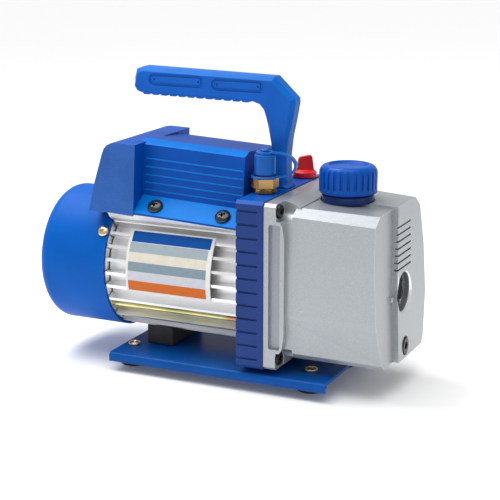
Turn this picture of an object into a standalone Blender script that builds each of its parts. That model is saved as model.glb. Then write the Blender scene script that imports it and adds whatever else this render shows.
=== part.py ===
"""Single-stage rotary vane vacuum pump with its motor, base and carrying handle.

Frame: +X from the fan end to the oil casing, +Z up, -Y the side with the label.
The origin lies on the floor under the middle of the pump. Driving sizes are in
millimetres and the model is built in metres.
"""

import math

import bmesh
import bpy
from mathutils import Matrix, Vector

MM = 0.001
GAP = 0.35

# Motor axis and turned motor parts
AXIS_Z = 72.2
COVER_RADIUS = 50.5
COVER_REAR_X = -133.2
COVER_RIM_X = -77.3
COVER_WALL = 2.2
HOUSING_REAR_X = -76.6
FIN_RADIUS = 49.0
FIN_ROOT_RADIUS = 41.8
HOUSING_BORE = 39.2
FIN_ANGLES = (45, 33.5, 22, 10.5, -1, -12.5, -25.5, -46, -61, -76)
ROD_ANGLE = 36
ROD_CIRCLE = 44.5
ROD_RADIUS = 2.2
SHAFT_RADIUS = 7.0

# Pump bracket and oil casing
BRACKET_X0, BRACKET_X1 = 28.7, 48.6
BRACKET_HALF_WIDTH = 54.6
BRACKET_Z0, BRACKET_Z1 = 17.9, 135.1
RIB_COUNT = 12
FLANGE_X0, FLANGE_X1 = 49.0, 58.0
FLANGE_INSET = 0.8
CASING_WALL = 3.5
CASING_LEAN = 0.06
CASING_FRONT_X = 130.5
PANEL_STEP = 3.9
SIGHT_Y, SIGHT_Z, SIGHT_RADIUS = 2.0, 69.0, 14.0
DRAIN_Z, DRAIN_RADIUS = 31.2, 6.4
CAP_X, CAP_RADIUS, CAP_Z0, CAP_Z1 = 88.3, 20.1, 135.9, 155.0
CAP_FLUTES = 26
NECK_RADIUS, NECK_SEAT_Z = 18.2, 129.3
CASING_SCREW_Y, CASING_SCREW_LOW, CASING_SCREW_HIGH = 48.0, 26.2, 128.7

# Pump mechanism
ROTOR_RADIUS = 17.0
BORE_RADIUS = 20.6
BORE_DROP = 3.3
CYLINDER_X0, CYLINDER_X1 = 49.0, 76.0
ROTOR_X0, ROTOR_X1 = 42.0, 83.0
SLOT_HEIGHT = 4.6
VANE_LENGTH = 12.0

# Base
BASE_X0, BASE_X1 = -72.5, 94.2
BASE_HALF_WIDTH = 53.4
BASE_TOP, BASE_SHEET, BASE_RIM_Z = 14.0, 2.0, 7.4
FOOT_X = (-64.6, 74.6)
FOOT_Y = 29.4
FOOT_RADIUS = 11.0

# Terminal box, drawn level and then tilted about its hinge line at the rear
BOX_TILT = math.radians(2.7)
BOX_PIVOT_X, BOX_PIVOT_Z = -55.0, 117.0
BOX_WALL = 2.4
BOX_SIDE_Y, BOX_REAR_Y = 32.0, 46.0
BOX_FRONT_X = 23.2
FLANGE_RUN, FLANGE_RISE = 14.4, 10.8
RIB_PITCH = 5.5

# Handle
GRIP_HALF_WIDTH = 7.5
HANDLE_BASE_X = 40.0

# Fittings on the bracket's top face
INLET_X, INLET_Y = 36.6, -24.0
EXHAUST_X, EXHAUST_Y = 40.2, 38.4

parts = None
cutters = None
materials = {}


def reset_scene():
    for old in list(bpy.data.objects):
        bpy.data.objects.remove(old, do_unlink=True)


def new_collection(name):
    collection = bpy.data.collections.new(name)
    bpy.context.scene.collection.children.link(collection)
    return collection


def make_material(name, colour, roughness, metallic=0.0):
    material = bpy.data.materials.new(name)
    material.use_nodes = True
    shader = material.node_tree.nodes["Principled BSDF"]
    shader.inputs["Base Color"].default_value = (*colour, 1.0)
    shader.inputs["Roughness"].default_value = roughness
    shader.inputs["Metallic"].default_value = metallic
    material.diffuse_color = (*colour, 1.0)
    materials[name] = material


def make_materials():
    make_material("blue_plastic", (0.01, 0.10, 0.52), 0.38)
    make_material("blue_paint", (0.01, 0.08, 0.42), 0.34)
    make_material("silver_paint", (0.52, 0.55, 0.58), 0.38, 0.6)
    make_material("cast_aluminium", (0.72, 0.73, 0.74), 0.42, 0.9)
    make_material("zinc_steel", (0.66, 0.55, 0.24), 0.30, 1.0)
    make_material("black_steel", (0.02, 0.02, 0.022), 0.40, 0.7)
    make_material("bright_steel", (0.60, 0.61, 0.62), 0.25, 1.0)
    make_material("brass", (0.62, 0.36, 0.12), 0.26, 1.0)
    make_material("copper", (0.62, 0.26, 0.12), 0.35, 1.0)
    make_material("rubber", (0.02, 0.02, 0.02), 0.75)
    make_material("black_plastic", (0.025, 0.025, 0.028), 0.45)
    make_material("red_plastic", (0.72, 0.02, 0.02), 0.35)
    make_material("label_film", (0.80, 0.80, 0.78), 0.45)
    make_material("glass", (0.85, 0.90, 0.90), 0.05)


def add_object(name, mesh, material, origin=(0, 0, 0), as_cutter=False):
    """Link a mesh given in world metres, with its origin moved to a place in mm."""
    centre = Vector(origin) * MM
    mesh.transform(Matrix.Translation(-centre))
    obj = bpy.data.objects.new(name, mesh)
    obj.location = centre
    if as_cutter:
        cutters.objects.link(obj)
        obj.hide_render = True
        obj.display_type = "WIRE"
    else:
        parts.objects.link(obj)
        mesh.materials.append(materials[material])
    return obj


def mesh_from(bm, name, smooth=True):
    bmesh.ops.recalc_face_normals(bm, faces=bm.faces)
    mesh = bpy.data.meshes.new(name)
    bm.to_mesh(mesh)
    bm.free()
    if smooth:
        mesh.shade_smooth()
        mesh.set_sharp_from_angle(angle=math.radians(35))
    return mesh


def box(name, x, y, z, material=None, origin=(0, 0, 0), turn=None):
    """A block between pairs of coordinates in mm, optionally turned by a matrix in metres."""
    bm = bmesh.new()
    bmesh.ops.create_cube(bm, size=1.0)
    size = Matrix.Diagonal(((x[1] - x[0]) * MM, (y[1] - y[0]) * MM, (z[1] - z[0]) * MM, 1.0))
    place = Matrix.Translation(Vector((sum(x), sum(y), sum(z))) * (MM / 2))
    bmesh.ops.transform(bm, matrix=(turn or Matrix.Identity(4)) @ place @ size, verts=bm.verts)
    return add_object(name, mesh_from(bm, name), material, origin, material is None)


AXIS_TURN = {
    "x": Matrix.Rotation(math.pi / 2, 4, "Y"),
    "y": Matrix.Rotation(-math.pi / 2, 4, "X"),
    "z": Matrix.Identity(4),
}


def cylinder(name, radius, start, length, axis="x", material=None, origin=(0, 0, 0), sides=32, tip=None):
    """A round bar from a start point in mm along an axis; tip is its far radius."""
    bm = bmesh.new()
    bmesh.ops.create_cone(
        bm,
        cap_ends=True,
        segments=sides,
        radius1=radius * MM,
        radius2=(radius if tip is None else tip) * MM,
        depth=length * MM,
    )
    lift = Matrix.Translation((0, 0, length * MM / 2))
    place = Matrix.Translation(Vector(start) * MM)
    bmesh.ops.transform(bm, matrix=place @ AXIS_TURN[axis] @ lift, verts=bm.verts)
    return add_object(name, mesh_from(bm, name), material, origin, material is None)


def turned(name, profile, centre, axis, material, steps=32, closed=False):
    """Screw a profile of (radius, height) in mm, outer side from top to bottom, about an axis."""
    mesh = bpy.data.meshes.new(name)
    points = [(r * MM, 0.0, h * MM) for r, h in profile]
    edges = [(i, i + 1) for i in range(len(points) - 1)]
    if closed:
        edges.append((len(points) - 1, 0))
    mesh.from_pydata(points, edges, [])
    obj = bpy.data.objects.new(name, mesh)
    parts.objects.link(obj)
    mesh.materials.append(materials[material])
    obj.matrix_world = Matrix.Translation(Vector(centre) * MM) @ AXIS_TURN[axis]
    screw = obj.modifiers.new("Turn", "SCREW")
    screw.steps = steps
    screw.render_steps = steps
    screw.use_merge_vertices = True
    screw.merge_threshold = 0.00001
    screw.use_smooth_shade = True
    return obj


def ring(name, outer, inner, x0, x1, material, centre=(0, 0, AXIS_Z), axis="x", steps=32, chamfer=0.6):
    """A turned ring between two places along its axis, with small chamfers on the outside."""
    profile = [
        (outer - chamfer, x1),
        (outer, x1 - chamfer),
        (outer, x0 + chamfer),
        (outer - chamfer, x0),
        (inner, x0),
        (inner, x1),
    ]
    return turned(name, profile, centre, axis, material, steps, closed=True)


PLANE_TURN = {
    # outline (u, v) and thickness direction for each drawing plane
    "yz": Matrix(((0, 0, 1, 0), (1, 0, 0, 0), (0, 1, 0, 0), (0, 0, 0, 1))),
    "xz": Matrix(((1, 0, 0, 0), (0, 0, -1, 0), (0, 1, 0, 0), (0, 0, 0, 1))),
    "xy": Matrix.Identity(4),
}


def plate(name, outline, low, high, plane, material=None, origin=(0, 0, 0), turn=None):
    """Extrude a closed outline in mm, drawn in a plane, between two places along its normal."""
    curve = bpy.data.curves.new(name, "CURVE")
    curve.dimensions = "2D"
    curve.fill_mode = "BOTH"
    curve.extrude = (high - low) * MM / 2
    spline = curve.splines.new("POLY")
    spline.points.add(len(outline) - 1)
    for point, (u, v) in zip(spline.points, outline):
        point.co = (u * MM, v * MM, 0.0, 1.0)
    spline.use_cyclic_u = True
    flat = bpy.data.objects.new(name + "_outline", curve)
    bpy.context.scene.collection.objects.link(flat)
    graph = bpy.context.evaluated_depsgraph_get()
    mesh = bpy.data.meshes.new_from_object(flat.evaluated_get(graph))
    bpy.data.objects.remove(flat, do_unlink=True)
    bm = bmesh.new()
    bm.from_mesh(mesh)
    bmesh.ops.remove_doubles(bm, verts=bm.verts, dist=0.00001)
    middle = (low + high) * MM / 2
    if plane == "xz":
        middle = -middle
    bmesh.ops.translate(bm, vec=(0, 0, middle), verts=bm.verts)
    bmesh.ops.transform(bm, matrix=(turn or Matrix.Identity(4)) @ PLANE_TURN[plane], verts=bm.verts)
    return add_object(name, mesh_from(bm, name), material, origin, material is None)


def boolean(obj, tool, operation="DIFFERENCE"):
    modifier = obj.modifiers.new(operation.title() + "_" + tool.name, "BOOLEAN")
    modifier.operation = operation
    modifier.object = tool
    modifier.solver = "EXACT"


def loft(name, sections, material=None):
    """Skin closed rings of equal length, given in mm, and cap both ends."""
    bm = bmesh.new()
    rings = [[bm.verts.new(Vector(p) * MM) for p in section] for section in sections]
    count = len(rings[0])
    for near, far in zip(rings, rings[1:]):
        for i in range(count):
            j = (i + 1) % count
            bm.faces.new((near[i], near[j], far[j], far[i]))
    bm.faces.new(rings[0])
    bm.faces.new(rings[-1])
    return add_object(name, mesh_from(bm, name), material, (0, 0, 0), material is None)


def arc(centre_u, centre_v, radius, start, end, steps):
    """Points on an arc, angles in degrees."""
    points = []
    for i in range(steps + 1):
        angle = math.radians(start + (end - start) * i / steps)
        points.append((centre_u + radius * math.cos(angle), centre_v + radius * math.sin(angle)))
    return points


# ---------------------------------------------------------------- base and feet


def make_base():
    """A bent sheet with its long edges folded down, bored for the foot screws."""
    w, top, low, t = BASE_HALF_WIDTH, BASE_TOP, BASE_RIM_Z, BASE_SHEET
    bend = 3.0
    outer = [(-w, low)] + arc(-w + bend, top - bend, bend, 180, 90, 4)
    outer += arc(w - bend, top - bend, bend, 90, 0, 4) + [(w, low)]
    inner = [(w - t, low)] + arc(w - bend, top - bend, bend - t, 0, 90, 2)
    inner += arc(-w + bend, top - bend, bend - t, 90, 180, 2) + [(-w + t, low)]
    base = plate("base_plate", outer + inner, BASE_X0, BASE_X1, "yz", "blue_paint")
    for index, (x, y) in enumerate(foot_places()):
        hole = cylinder(f"foot_hole_{index}", 2.6, (x, y, BASE_TOP - 6), 12, "z", sides=16)
        boolean(base, hole)


def foot_places():
    return [(x, y) for x in FOOT_X for y in (-FOOT_Y, FOOT_Y)]


FOOT_NAMES = ("rear_near", "rear_far", "front_near", "front_far")


def make_feet():
    foot_top = BASE_TOP - BASE_SHEET - GAP
    profile = [
        (0.0, foot_top),
        (8.6, foot_top),
        (10.4, 5.0),
        (FOOT_RADIUS, 1.4),
        (FOOT_RADIUS - 1.2, 0.0),
        (0.0, 0.0),
    ]
    for name, (x, y) in zip(FOOT_NAMES, foot_places()):
        foot = turned(f"foot_{name}", profile, (x, y, 0), "z", "rubber", 18)
        boolean(foot, cylinder(f"foot_bore_{name}", 2.0 + GAP, (x, y, 3.0), 20, "z", sides=16))
        make_foot_screw(name, x, y)


def make_foot_screw(name, x, y):
    seat = BASE_TOP + GAP
    profile = [
        (0.0, seat + 2.2),
        (2.8, seat + 2.0),
        (4.5, seat),
        (2.0, seat),
        (2.0, 4.0),
        (0.0, 4.0),
    ]
    turned(f"foot_screw_{name}", profile, (x, y, 0), "z", "zinc_steel", 14)


def make_motor_support():
    """The rubber saddle between the base and the underside of the motor."""
    saddle = box("motor_support", (-57, -36), (-24, 24), (BASE_TOP + GAP, 34), "rubber")
    bed = cylinder("support_bed", FIN_RADIUS + GAP, (-70, 0, AXIS_Z), 60, "x", sides=72)
    boolean(saddle, bed)


# ---------------------------------------------------------------- motor


def polar(radius, angle):
    """A point on the near side at an angle above the horizontal, as (y, z)."""
    rad = math.radians(angle)
    return (-radius * math.cos(rad), AXIS_Z + radius * math.sin(rad))


def housing_half():
    """Half of the finned section, on the near side, from the top centre down to the bottom."""
    points = [(0.0, AXIS_Z + 43.5), (-21.0, AXIS_Z + 43.5), (-27.5, AXIS_Z + 51.5)]
    points += [(-31.5, AXIS_Z + 55.5), (-45.8, AXIS_Z + 44.8), (-40.5, AXIS_Z + 38.0)]
    for angle in FIN_ANGLES:
        thick_root, thick_tip = 1.9, 1.25
        points.append(polar(FIN_ROOT_RADIUS, angle + thick_root))
        points.append(polar(FIN_RADIUS, angle + thick_tip))
        points.append(polar(FIN_RADIUS, angle - thick_tip))
        points.append(polar(FIN_ROOT_RADIUS, angle - thick_root))
    points.append(polar(FIN_ROOT_RADIUS, -88))
    return points


def make_housing():
    near = housing_half()
    far = [(-y, z) for y, z in reversed(near[1:])]
    x1 = BRACKET_X0 - GAP
    housing = plate("stator_housing", near + far, HOUSING_REAR_X, x1, "yz", "cast_aluminium")
    bore = cylinder("housing_bore", HOUSING_BORE, (-90, 0, AXIS_Z), 140, "x", sides=64)
    boolean(housing, bore)
    boolean(housing, box_envelope())
    for index, (y, z) in enumerate(rod_places()):
        boolean(housing, cylinder(f"rod_channel_{index}", ROD_RADIUS + GAP, (-80, y, z), 120, "x", sides=12))
    for index, (x, y, z) in enumerate(box_screw_places()):
        boolean(housing, box_screw_bar(f"ear_tap_{index}", 2.2, -8.0, 8.0, x, y, z, sides=12))


def make_stator():
    ring("stator_core", HOUSING_BORE - GAP, 24.2, -58, 8, "bright_steel", steps=32)
    ring("winding_rear", 36.0, 26.0, -73, -58.4, "copper", steps=24, chamfer=3.0)
    ring("winding_front", 36.0, 26.0, 8.4, 22, "copper", steps=24, chamfer=3.0)


def make_rotor():
    """Everything on the motor shaft: the shaft, the squirrel cage and the cooling fan."""
    shaft_profile = [
        (0.0, 41.6),
        (SHAFT_RADIUS - 1, 41.6),
        (SHAFT_RADIUS, 40.6),
        (SHAFT_RADIUS, -122.0),
        (SHAFT_RADIUS - 1, -123.0),
        (0.0, -123.0),
    ]
    turned("motor_shaft", shaft_profile, (0, 0, AXIS_Z), "x", "bright_steel", 24)
    ring("rotor_core", 23.7, SHAFT_RADIUS + GAP, -60, 10, "bright_steel", steps=24)
    blades, hub, tip = 9, 13.0, 42.0
    outline = []
    for index in range(blades):
        base = 360 / blades * index
        outline += arc(0, AXIS_Z, tip, base - 2.0, base + 2.0, 1)
        outline += arc(0, AXIS_Z, hub, base + 7.0, base + 360 / blades - 7.0, 2)
    fan = plate("cooling_fan", outline, -119, -101, "yz", "black_plastic", (0, 0, AXIS_Z))
    bore = cylinder("fan_bore", SHAFT_RADIUS + GAP, (-125, 0, AXIS_Z), 40, "x", sides=24)
    boolean(fan, bore)


def make_end_shield():
    """The rear bearing plate, inside the mouth of the fan cover."""
    profile = [
        (COVER_RADIUS - COVER_WALL - GAP, -77.4),
        (COVER_RADIUS - COVER_WALL - GAP, -84.0),
        (24.0, -84.0),
        (22.0, -92.0),
        (16.2 + GAP, -92.0),
        (16.2 + GAP, -81.0),
        (SHAFT_RADIUS + 2, -81.0),
        (SHAFT_RADIUS + 2, -77.4),
    ]
    shield = turned("rear_end_shield", profile, (0, 0, AXIS_Z), "x", "cast_aluminium", 28, closed=True)
    for index, (y, z) in enumerate(rod_places()):
        hole = cylinder(f"rod_hole_{index}", ROD_RADIUS + GAP, (-90, y, z), 20, "x", sides=16)
        boolean(shield, hole)
    for index, angle in enumerate(COVER_SCREW_ANGLES):
        boolean(shield, radial_bar(f"shield_tap_{index}", 2.0, 38.0, 60.0, angle))
    ring("rear_bearing", 16.2, SHAFT_RADIUS + GAP, -91.6, -81.4, "bright_steel", steps=20)


COVER_SCREW_ANGLES = (33.1, 146.9, -90.0)
COVER_SCREW_X = -81.0


def radial_bar(name, radius, inner, outer, angle, material=None, sides=16, tip=None):
    """A bar that points outward from the motor axis at the cover screws' plane."""
    y, z = polar(inner, angle)
    turn = Matrix.Rotation(math.radians(90 - angle), 4, "X")
    bm = bmesh.new()
    bmesh.ops.create_cone(
        bm,
        cap_ends=True,
        segments=sides,
        radius1=radius * MM,
        radius2=(tip or radius) * MM,
        depth=(outer - inner) * MM,
    )
    lift = Matrix.Translation((0, 0, (outer - inner) * MM / 2))
    place = Matrix.Translation(Vector((COVER_SCREW_X, y, z)) * MM)
    bmesh.ops.transform(bm, matrix=place @ turn @ lift, verts=bm.verts)
    return add_object(name, mesh_from(bm, name), material, (0, 0, 0), material is None)


def rod_places():
    places = []
    for side in (-1, 1):
        for angle in (-ROD_ANGLE, ROD_ANGLE + 24):
            y, z = polar(ROD_CIRCLE, angle)
            places.append((-side * y, z))
    return places


def make_fan_cover():
    r, t, x0, x1 = COVER_RADIUS, COVER_WALL, COVER_REAR_X, COVER_RIM_X
    edge = 9.0
    profile = [(0.0, x1), (r, x1)] + arc(r - edge, x0 + edge, edge, 0, -90, 5) + [(0.0, x0)]
    cover = turned("fan_cover", profile, (0, 0, AXIS_Z), "x", "blue_paint", 36)
    inside = [(0.0, x1 + 5), (r - t, x1 + 5)] + arc(r - edge, x0 + edge, edge - t, 0, -90, 4) + [(0.0, x0 + t)]
    boolean(cover, turned_cutter("cover_inside", inside, (0, 0, AXIS_Z), axis="x", steps=36))
    slot_count = 12
    for index in range(slot_count):
        turn = (
            Matrix.Translation((0, 0, AXIS_Z * MM))
            @ Matrix.Rotation(2 * math.pi * index / slot_count, 4, "X")
            @ Matrix.Translation((0, 0, -AXIS_Z * MM))
        )
        slot = box(f"vent_{index}", (x0 - 3, x0 + 6), (-1.7, 1.7), (AXIS_Z + 14, AXIS_Z + 36), turn=turn)
        boolean(cover, slot)
    for index, angle in enumerate(COVER_SCREW_ANGLES):
        boolean(cover, radial_bar(f"cover_hole_{index}", 2.2, 44.0, 56.0, angle))


def make_cover_screws():
    for index, angle in enumerate(COVER_SCREW_ANGLES[:2]):
        name = "cover_screw_" + ("near", "far")[index]
        shank = radial_bar(name, 1.6, 40.0, COVER_RADIUS + GAP + 0.1, angle, "zinc_steel")
        head = radial_bar(name + "_head", 3.9, COVER_RADIUS + GAP, COVER_RADIUS + 2.6, angle, tip=2.8, sides=20)
        boolean(shank, head, "UNION")


def make_tie_rods():
    names = ("low_near", "high_near", "low_far", "high_far")
    head_x0, head_x1, end_x = -88.0, -84.0 - GAP, BRACKET_X0 - GAP
    profile = [
        (0.0, end_x),
        (ROD_RADIUS, end_x),
        (ROD_RADIUS, head_x1),
        (3.4, head_x1),
        (3.4, head_x0),
        (0.0, head_x0),
    ]
    for name, (y, z) in zip(names, rod_places()):
        turned(f"tie_rod_{name}", profile, (0, y, z), "x", "zinc_steel", 12)


def make_label():
    inner = FIN_RADIUS + GAP
    low, high, steps = -13.6, 38.4, 14
    outside = [polar(inner + 0.8, low + (high - low) * i / steps) for i in range(steps + 1)]
    inside = [polar(inner, high + (low - high) * i / steps) for i in range(steps + 1)]
    plate("label_plate", outside + inside, -59.4, 7.0, "yz", "label_film")


# ---------------------------------------------------------------- terminal box


def box_turn():
    pivot = Vector((BOX_PIVOT_X, 0, BOX_PIVOT_Z)) * MM
    return (
        Matrix.Translation(pivot)
        @ Matrix.Rotation(BOX_TILT, 4, "Y")
        @ Matrix.Translation(-pivot)
    )


def front_section(grow):
    """Outline of the front section in the YZ plane, grown or shrunk all round."""
    y, low = BOX_SIDE_Y + grow, BOX_PIVOT_Z - 20
    return [
        (-y, low),
        (-y, 163.6 + grow),
        (-25.0 - grow / 2, 166.6 + grow),
        (25.0 + grow / 2, 162.4 + grow),
        (y, 158.6 + grow),
        (y, low),
    ]


def rear_section(grow):
    """Outline of the rear section in the XZ plane, grown or shrunk all round."""
    low = 113.6 - max(grow, 0)
    if grow < 0:
        low = 100.0
    outline = [(BOX_PIVOT_X + 0.4 + grow * 0.4, low), (-90.4 - grow, low)]
    outline += [(-86.2 - grow, 135.0)]
    outline += arc(-70.2, 154.0, 10.6 + grow, 170, 90, 4)
    outline += [(BOX_PIVOT_X + 0.4 + grow * 0.4, 164.9 + grow)]
    return outline


def flange_outline(side, grow):
    """Section of one slanted side flange in the YZ plane."""
    y0, z0 = BOX_SIDE_Y - 0.6 + FLANGE_RUN, BOX_PIVOT_Z
    y1, z1 = BOX_SIDE_Y - 0.6, BOX_PIVOT_Z + FLANGE_RISE
    dy, dz = FLANGE_RISE / 18.0 * 2.2, FLANGE_RUN / 18.0 * 2.2
    y1 -= FLANGE_RUN * 0.12
    z1 += FLANGE_RISE * 0.12
    outline = [
        (y0 + grow, z0 - grow * 0.5),
        (y1, z1),
        (y1 - dy - grow, z1 - dz - grow),
        (y0 - dy - grow, z0 - dz - grow),
    ]
    return [(side * y, z) for y, z in outline]


def box_envelope():
    """The space that the tilted box takes, which the housing's ears stay clear of."""
    under = flange_outline(1, GAP + 0.15)
    inner, outer = under[2], under[3]
    half = [inner, outer, (70.0, outer[1] - 18.0), (70.0, 150.0)]
    outline = half + [(-y, z) for y, z in reversed(half)]
    return plate("box_envelope", outline, -95, 40, "yz", turn=box_turn())


def motor_top_outline():
    """The top of the finned section between its ears, with a gap all round."""
    half = [(21.0, AXIS_Z + 44.4), (27.7, AXIS_Z + 52.7), (27.7, 80.0)]
    return half + [(-y, z) for y, z in reversed(half)]


def under_flange(side):
    """The space below one slanted flange, where the housing's ear lies."""
    _, _, inner, outer = flange_outline(1, 0.15)
    reach = BOX_REAR_Y + 0.6
    lip = (reach, outer[1] - 0.6 * (reach - outer[0]))
    outline = [(27.3, 80.0), (27.3, inner[1]), inner, outer, lip, (reach, 80.0)]
    outline = [(side * y, z) for y, z in outline]
    return plate(f"under_flange_{side + 1}", outline, -78, 40, "yz", turn=box_turn())


def make_terminal_box():
    turn = box_turn()
    x0, x1 = BOX_PIVOT_X - 4, BOX_FRONT_X
    body = plate("terminal_box", front_section(0), x0, x1, "yz", "blue_plastic", turn=turn)
    rear = plate("box_rear", rear_section(0), -BOX_REAR_Y, 38.0, "xz", turn=turn)
    boolean(body, rear, "UNION")
    for side in (-1, 1):
        flange = plate(f"box_flange_{side + 1}", flange_outline(side, 0), BOX_PIVOT_X, 27.2, "yz", turn=turn)
        boolean(body, flange, "UNION")
    hollow = plate("box_hollow", front_section(-BOX_WALL), x0 - 1, x1 - BOX_WALL, "yz", turn=turn)
    boolean(body, hollow)
    hollow_rear = plate("box_rear_hollow", rear_section(-BOX_WALL), 2.4 - BOX_REAR_Y, 35.6, "xz", turn=turn)
    boolean(body, hollow_rear)
    boolean(body, front_trim())
    boolean(body, cylinder("cover_relief", COVER_RADIUS + 0.6, (-100, 0, AXIS_Z), 46, "x", sides=96))
    boolean(body, plate("box_floor_trim", motor_top_outline(), -95, 40, "yz"))
    for side in (-1, 1):
        boolean(body, under_flange(side))
    for index, (x, y, z) in enumerate(box_screw_places()):
        boolean(body, box_screw_bar(f"box_screw_hole_{index}", 2.3, -8.0, 8.0, x, y, z))
    boolean(body, panel_hole("switch_hole", SWITCH_Y, 9.8, 6.8))
    boolean(body, panel_hole("inlet_hole", INLET_SOCKET_Y, 13.8, 10.3))


def front_trim():
    """The sloping cut across the front section's top front edge."""
    size = 14.0
    turn = (
        Matrix.Translation(Vector((BOX_FRONT_X, 0, 165.0)) * MM)
        @ Matrix.Rotation(math.radians(-45), 4, "Y")
    )
    return box("front_trim", (1.2, size), (-60, 60), (-size, size), turn=turn)


def box_screw_places():
    slope_y = BOX_SIDE_Y - 0.6 + FLANGE_RUN * 0.56
    places = []
    for side in (-1, 1):
        for x in (-42.8, 9.4):
            y = side * slope_y
            z = BOX_PIVOT_Z + FLANGE_RISE * 0.44 - (x - BOX_PIVOT_X) * math.tan(BOX_TILT)
            places.append((x, y, z))
    return places


def box_screw_bar(name, radius, low, high, x, y, z, material=None, tip=None, sides=16):
    """A bar square to a flange, from low to high along the outward normal, in mm."""
    side = 1 if y > 0 else -1
    normal = Vector((0.0, side * FLANGE_RISE, FLANGE_RUN)).normalized()
    turn = Vector((0, 0, 1)).rotation_difference(normal).to_matrix().to_4x4()
    bm = bmesh.new()
    bmesh.ops.create_cone(
        bm,
        cap_ends=True,
        segments=sides,
        radius1=radius * MM,
        radius2=(tip or radius) * MM,
        depth=(high - low) * MM,
    )
    lift = Matrix.Translation((0, 0, (low + high) * MM / 2))
    place = Matrix.Translation(Vector((x, y, z)) * MM)
    bmesh.ops.transform(bm, matrix=place @ turn @ lift, verts=bm.verts)
    return add_object(name, mesh_from(bm, name), material, (0, 0, 0), material is None)


def make_box_screws():
    names = ("near_rear", "near_front", "far_rear", "far_front")
    for name, (x, y, z) in zip(names, box_screw_places()):
        screw = box_screw_bar(f"box_screw_{name}", 1.8, -7.0, 0.6, x, y, z, "black_steel")
        head = box_screw_bar(f"box_screw_head_{name}", 5.0, 0.5, 3.4, x, y, z, tip=3.4, sides=18)
        boolean(screw, head, "UNION")


SWITCH_Y = -24.0
INLET_SOCKET_Y = 10.0
ROCKER_PIVOT = -1.0
ROCKER_TILT = math.radians(9)
PANEL_POINT = (-83.4, 146.0)
PANEL_ANGLE = math.atan2(4.2, 21.4)


def panel_frame(y):
    """Frame on the box's slanted rear wall: its +Z points out of the wall, its +X up the wall."""
    x, z = PANEL_POINT
    up = Vector((math.sin(PANEL_ANGLE), 0, math.cos(PANEL_ANGLE)))
    out = Vector((-math.cos(PANEL_ANGLE), 0, math.sin(PANEL_ANGLE)))
    side = out.cross(up)
    frame = Matrix((up, side, out)).transposed().to_4x4()
    frame.translation = Vector((x, y, z)) * MM
    return box_turn() @ frame


def panel_hole(name, y, half_wide, half_high):
    return box(name, (-half_high, half_high), (-half_wide, half_wide), (-12, 12), turn=panel_frame(y))


def make_switch():
    frame = panel_frame(SWITCH_Y)
    bezel = box("switch_bezel", (-8.6, 8.6), (-11.6, 11.6), (0.9, 2.6), "black_plastic", turn=frame)
    collar = box("bezel_collar", (-6.4, 6.4), (-9.4, 9.4), (-8.0, 1.5), turn=frame)
    boolean(bezel, collar, "UNION")
    window = box("bezel_window", (-5.2, 5.2), (-8.2, 8.2), (-6.0, 6.0), turn=frame)
    boolean(bezel, window)
    pivot = Matrix.Translation((0, 0, ROCKER_PIVOT * MM))
    hinge = (frame @ pivot).translation
    outline = [(-7.0, -2.0), (7.0, -2.0), (7.0, 4.0), (0.0, 3.0), (-7.0, 4.0)]
    drawing = frame @ pivot @ PLANE_TURN["yz"] @ Matrix.Rotation(-ROCKER_TILT, 4, "Z")
    plate("power_rocker", outline, -4.7, 4.7, "xy", "black_plastic", tuple(hinge / MM), turn=drawing)


def make_power_inlet():
    """An appliance inlet for a loose lead: a flanged frame round a deep open socket."""
    frame = panel_frame(INLET_SOCKET_Y)
    inlet = box("power_inlet", (-12.0, 12.0), (-16.0, 16.0), (0.9, 3.2), "black_plastic", turn=frame)
    body = box("inlet_body", (-9.9, 9.9), (-13.4, 13.4), (-17.0, 2.0), turn=frame)
    boolean(inlet, body, "UNION")
    socket = box("inlet_socket", (-8.2, 8.2), (-12.0, 12.0), (-14.5, 8.0), turn=frame)
    boolean(inlet, socket)


def make_capacitor():
    cylinder("capacitor", 13.5, (-44, 0, 130.2), 58, "x", "black_plastic", sides=24)


# ---------------------------------------------------------------- bracket and casing


def make_bracket():
    w, z0, z1, c = BRACKET_HALF_WIDTH, BRACKET_Z0, BRACKET_Z1, 2.3
    outline = [
        (-w, z0 + c), (-w, z1 - c), (-w + c, z1), (w - c, z1), (w, z1 - c), (w, z0 + c),
        (w - c, z0), (38, z0 + 0.6), (38, BASE_TOP + GAP), (-38, BASE_TOP + GAP),
        (-38, z0 + 0.6), (-w + c, z0),
    ]
    bracket = plate("pump_bracket", outline, BRACKET_X0, BRACKET_X1, "yz", "blue_paint")
    for name, radius, x0, x1 in (
        ("bearing_seat", 15.0 + GAP, 20.0, 37.2),
        ("seal_seat", 12.0 + GAP, 30.0, 45.0),
        ("journal_seat", ROTOR_RADIUS + GAP, 41.4, 55.0),
    ):
        boolean(bracket, cylinder(name, radius, (x0, 0, AXIS_Z), x1 - x0, "x", sides=40))
    pitch = (BRACKET_Z1 - BRACKET_Z0 - 14.0) / (RIB_COUNT - 1)
    for side in (-1, 1):
        for index in range(RIB_COUNT):
            z = BRACKET_Z0 + 7.0 + pitch * index
            y = sorted((side * (w - 1.4), side * (w + 5.0)))
            groove = box(f"bracket_groove_{side + 1}_{index}", (20, 44.4), y, (z - 0.9, z + 0.9))
            boolean(bracket, groove)
    for index, (y, z) in enumerate(casing_screw_places()):
        boolean(bracket, cylinder(f"bracket_tap_{index}", 2.9, (36.0, y, z), 20, "x", sides=12))
    boolean(bracket, cylinder("inlet_tap", 5.4, (INLET_X, INLET_Y, 124.0), 20, "z", sides=20))
    boolean(bracket, cylinder("exhaust_tap", 5.4, (EXHAUST_X, EXHAUST_Y, 126.0), 20, "z", sides=20))
    boolean(bracket, cylinder("handle_tap", 3.2, (HANDLE_BASE_X, 0, 118.0), 30, "z", sides=16))


def make_bearing_and_seal():
    ring("front_bearing", 15.0, SHAFT_RADIUS + GAP, 29.2, 36.9, "bright_steel", steps=20)
    ring("shaft_seal", 12.0, SHAFT_RADIUS + GAP, 37.4, 41.2, "rubber", steps=20)


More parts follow.
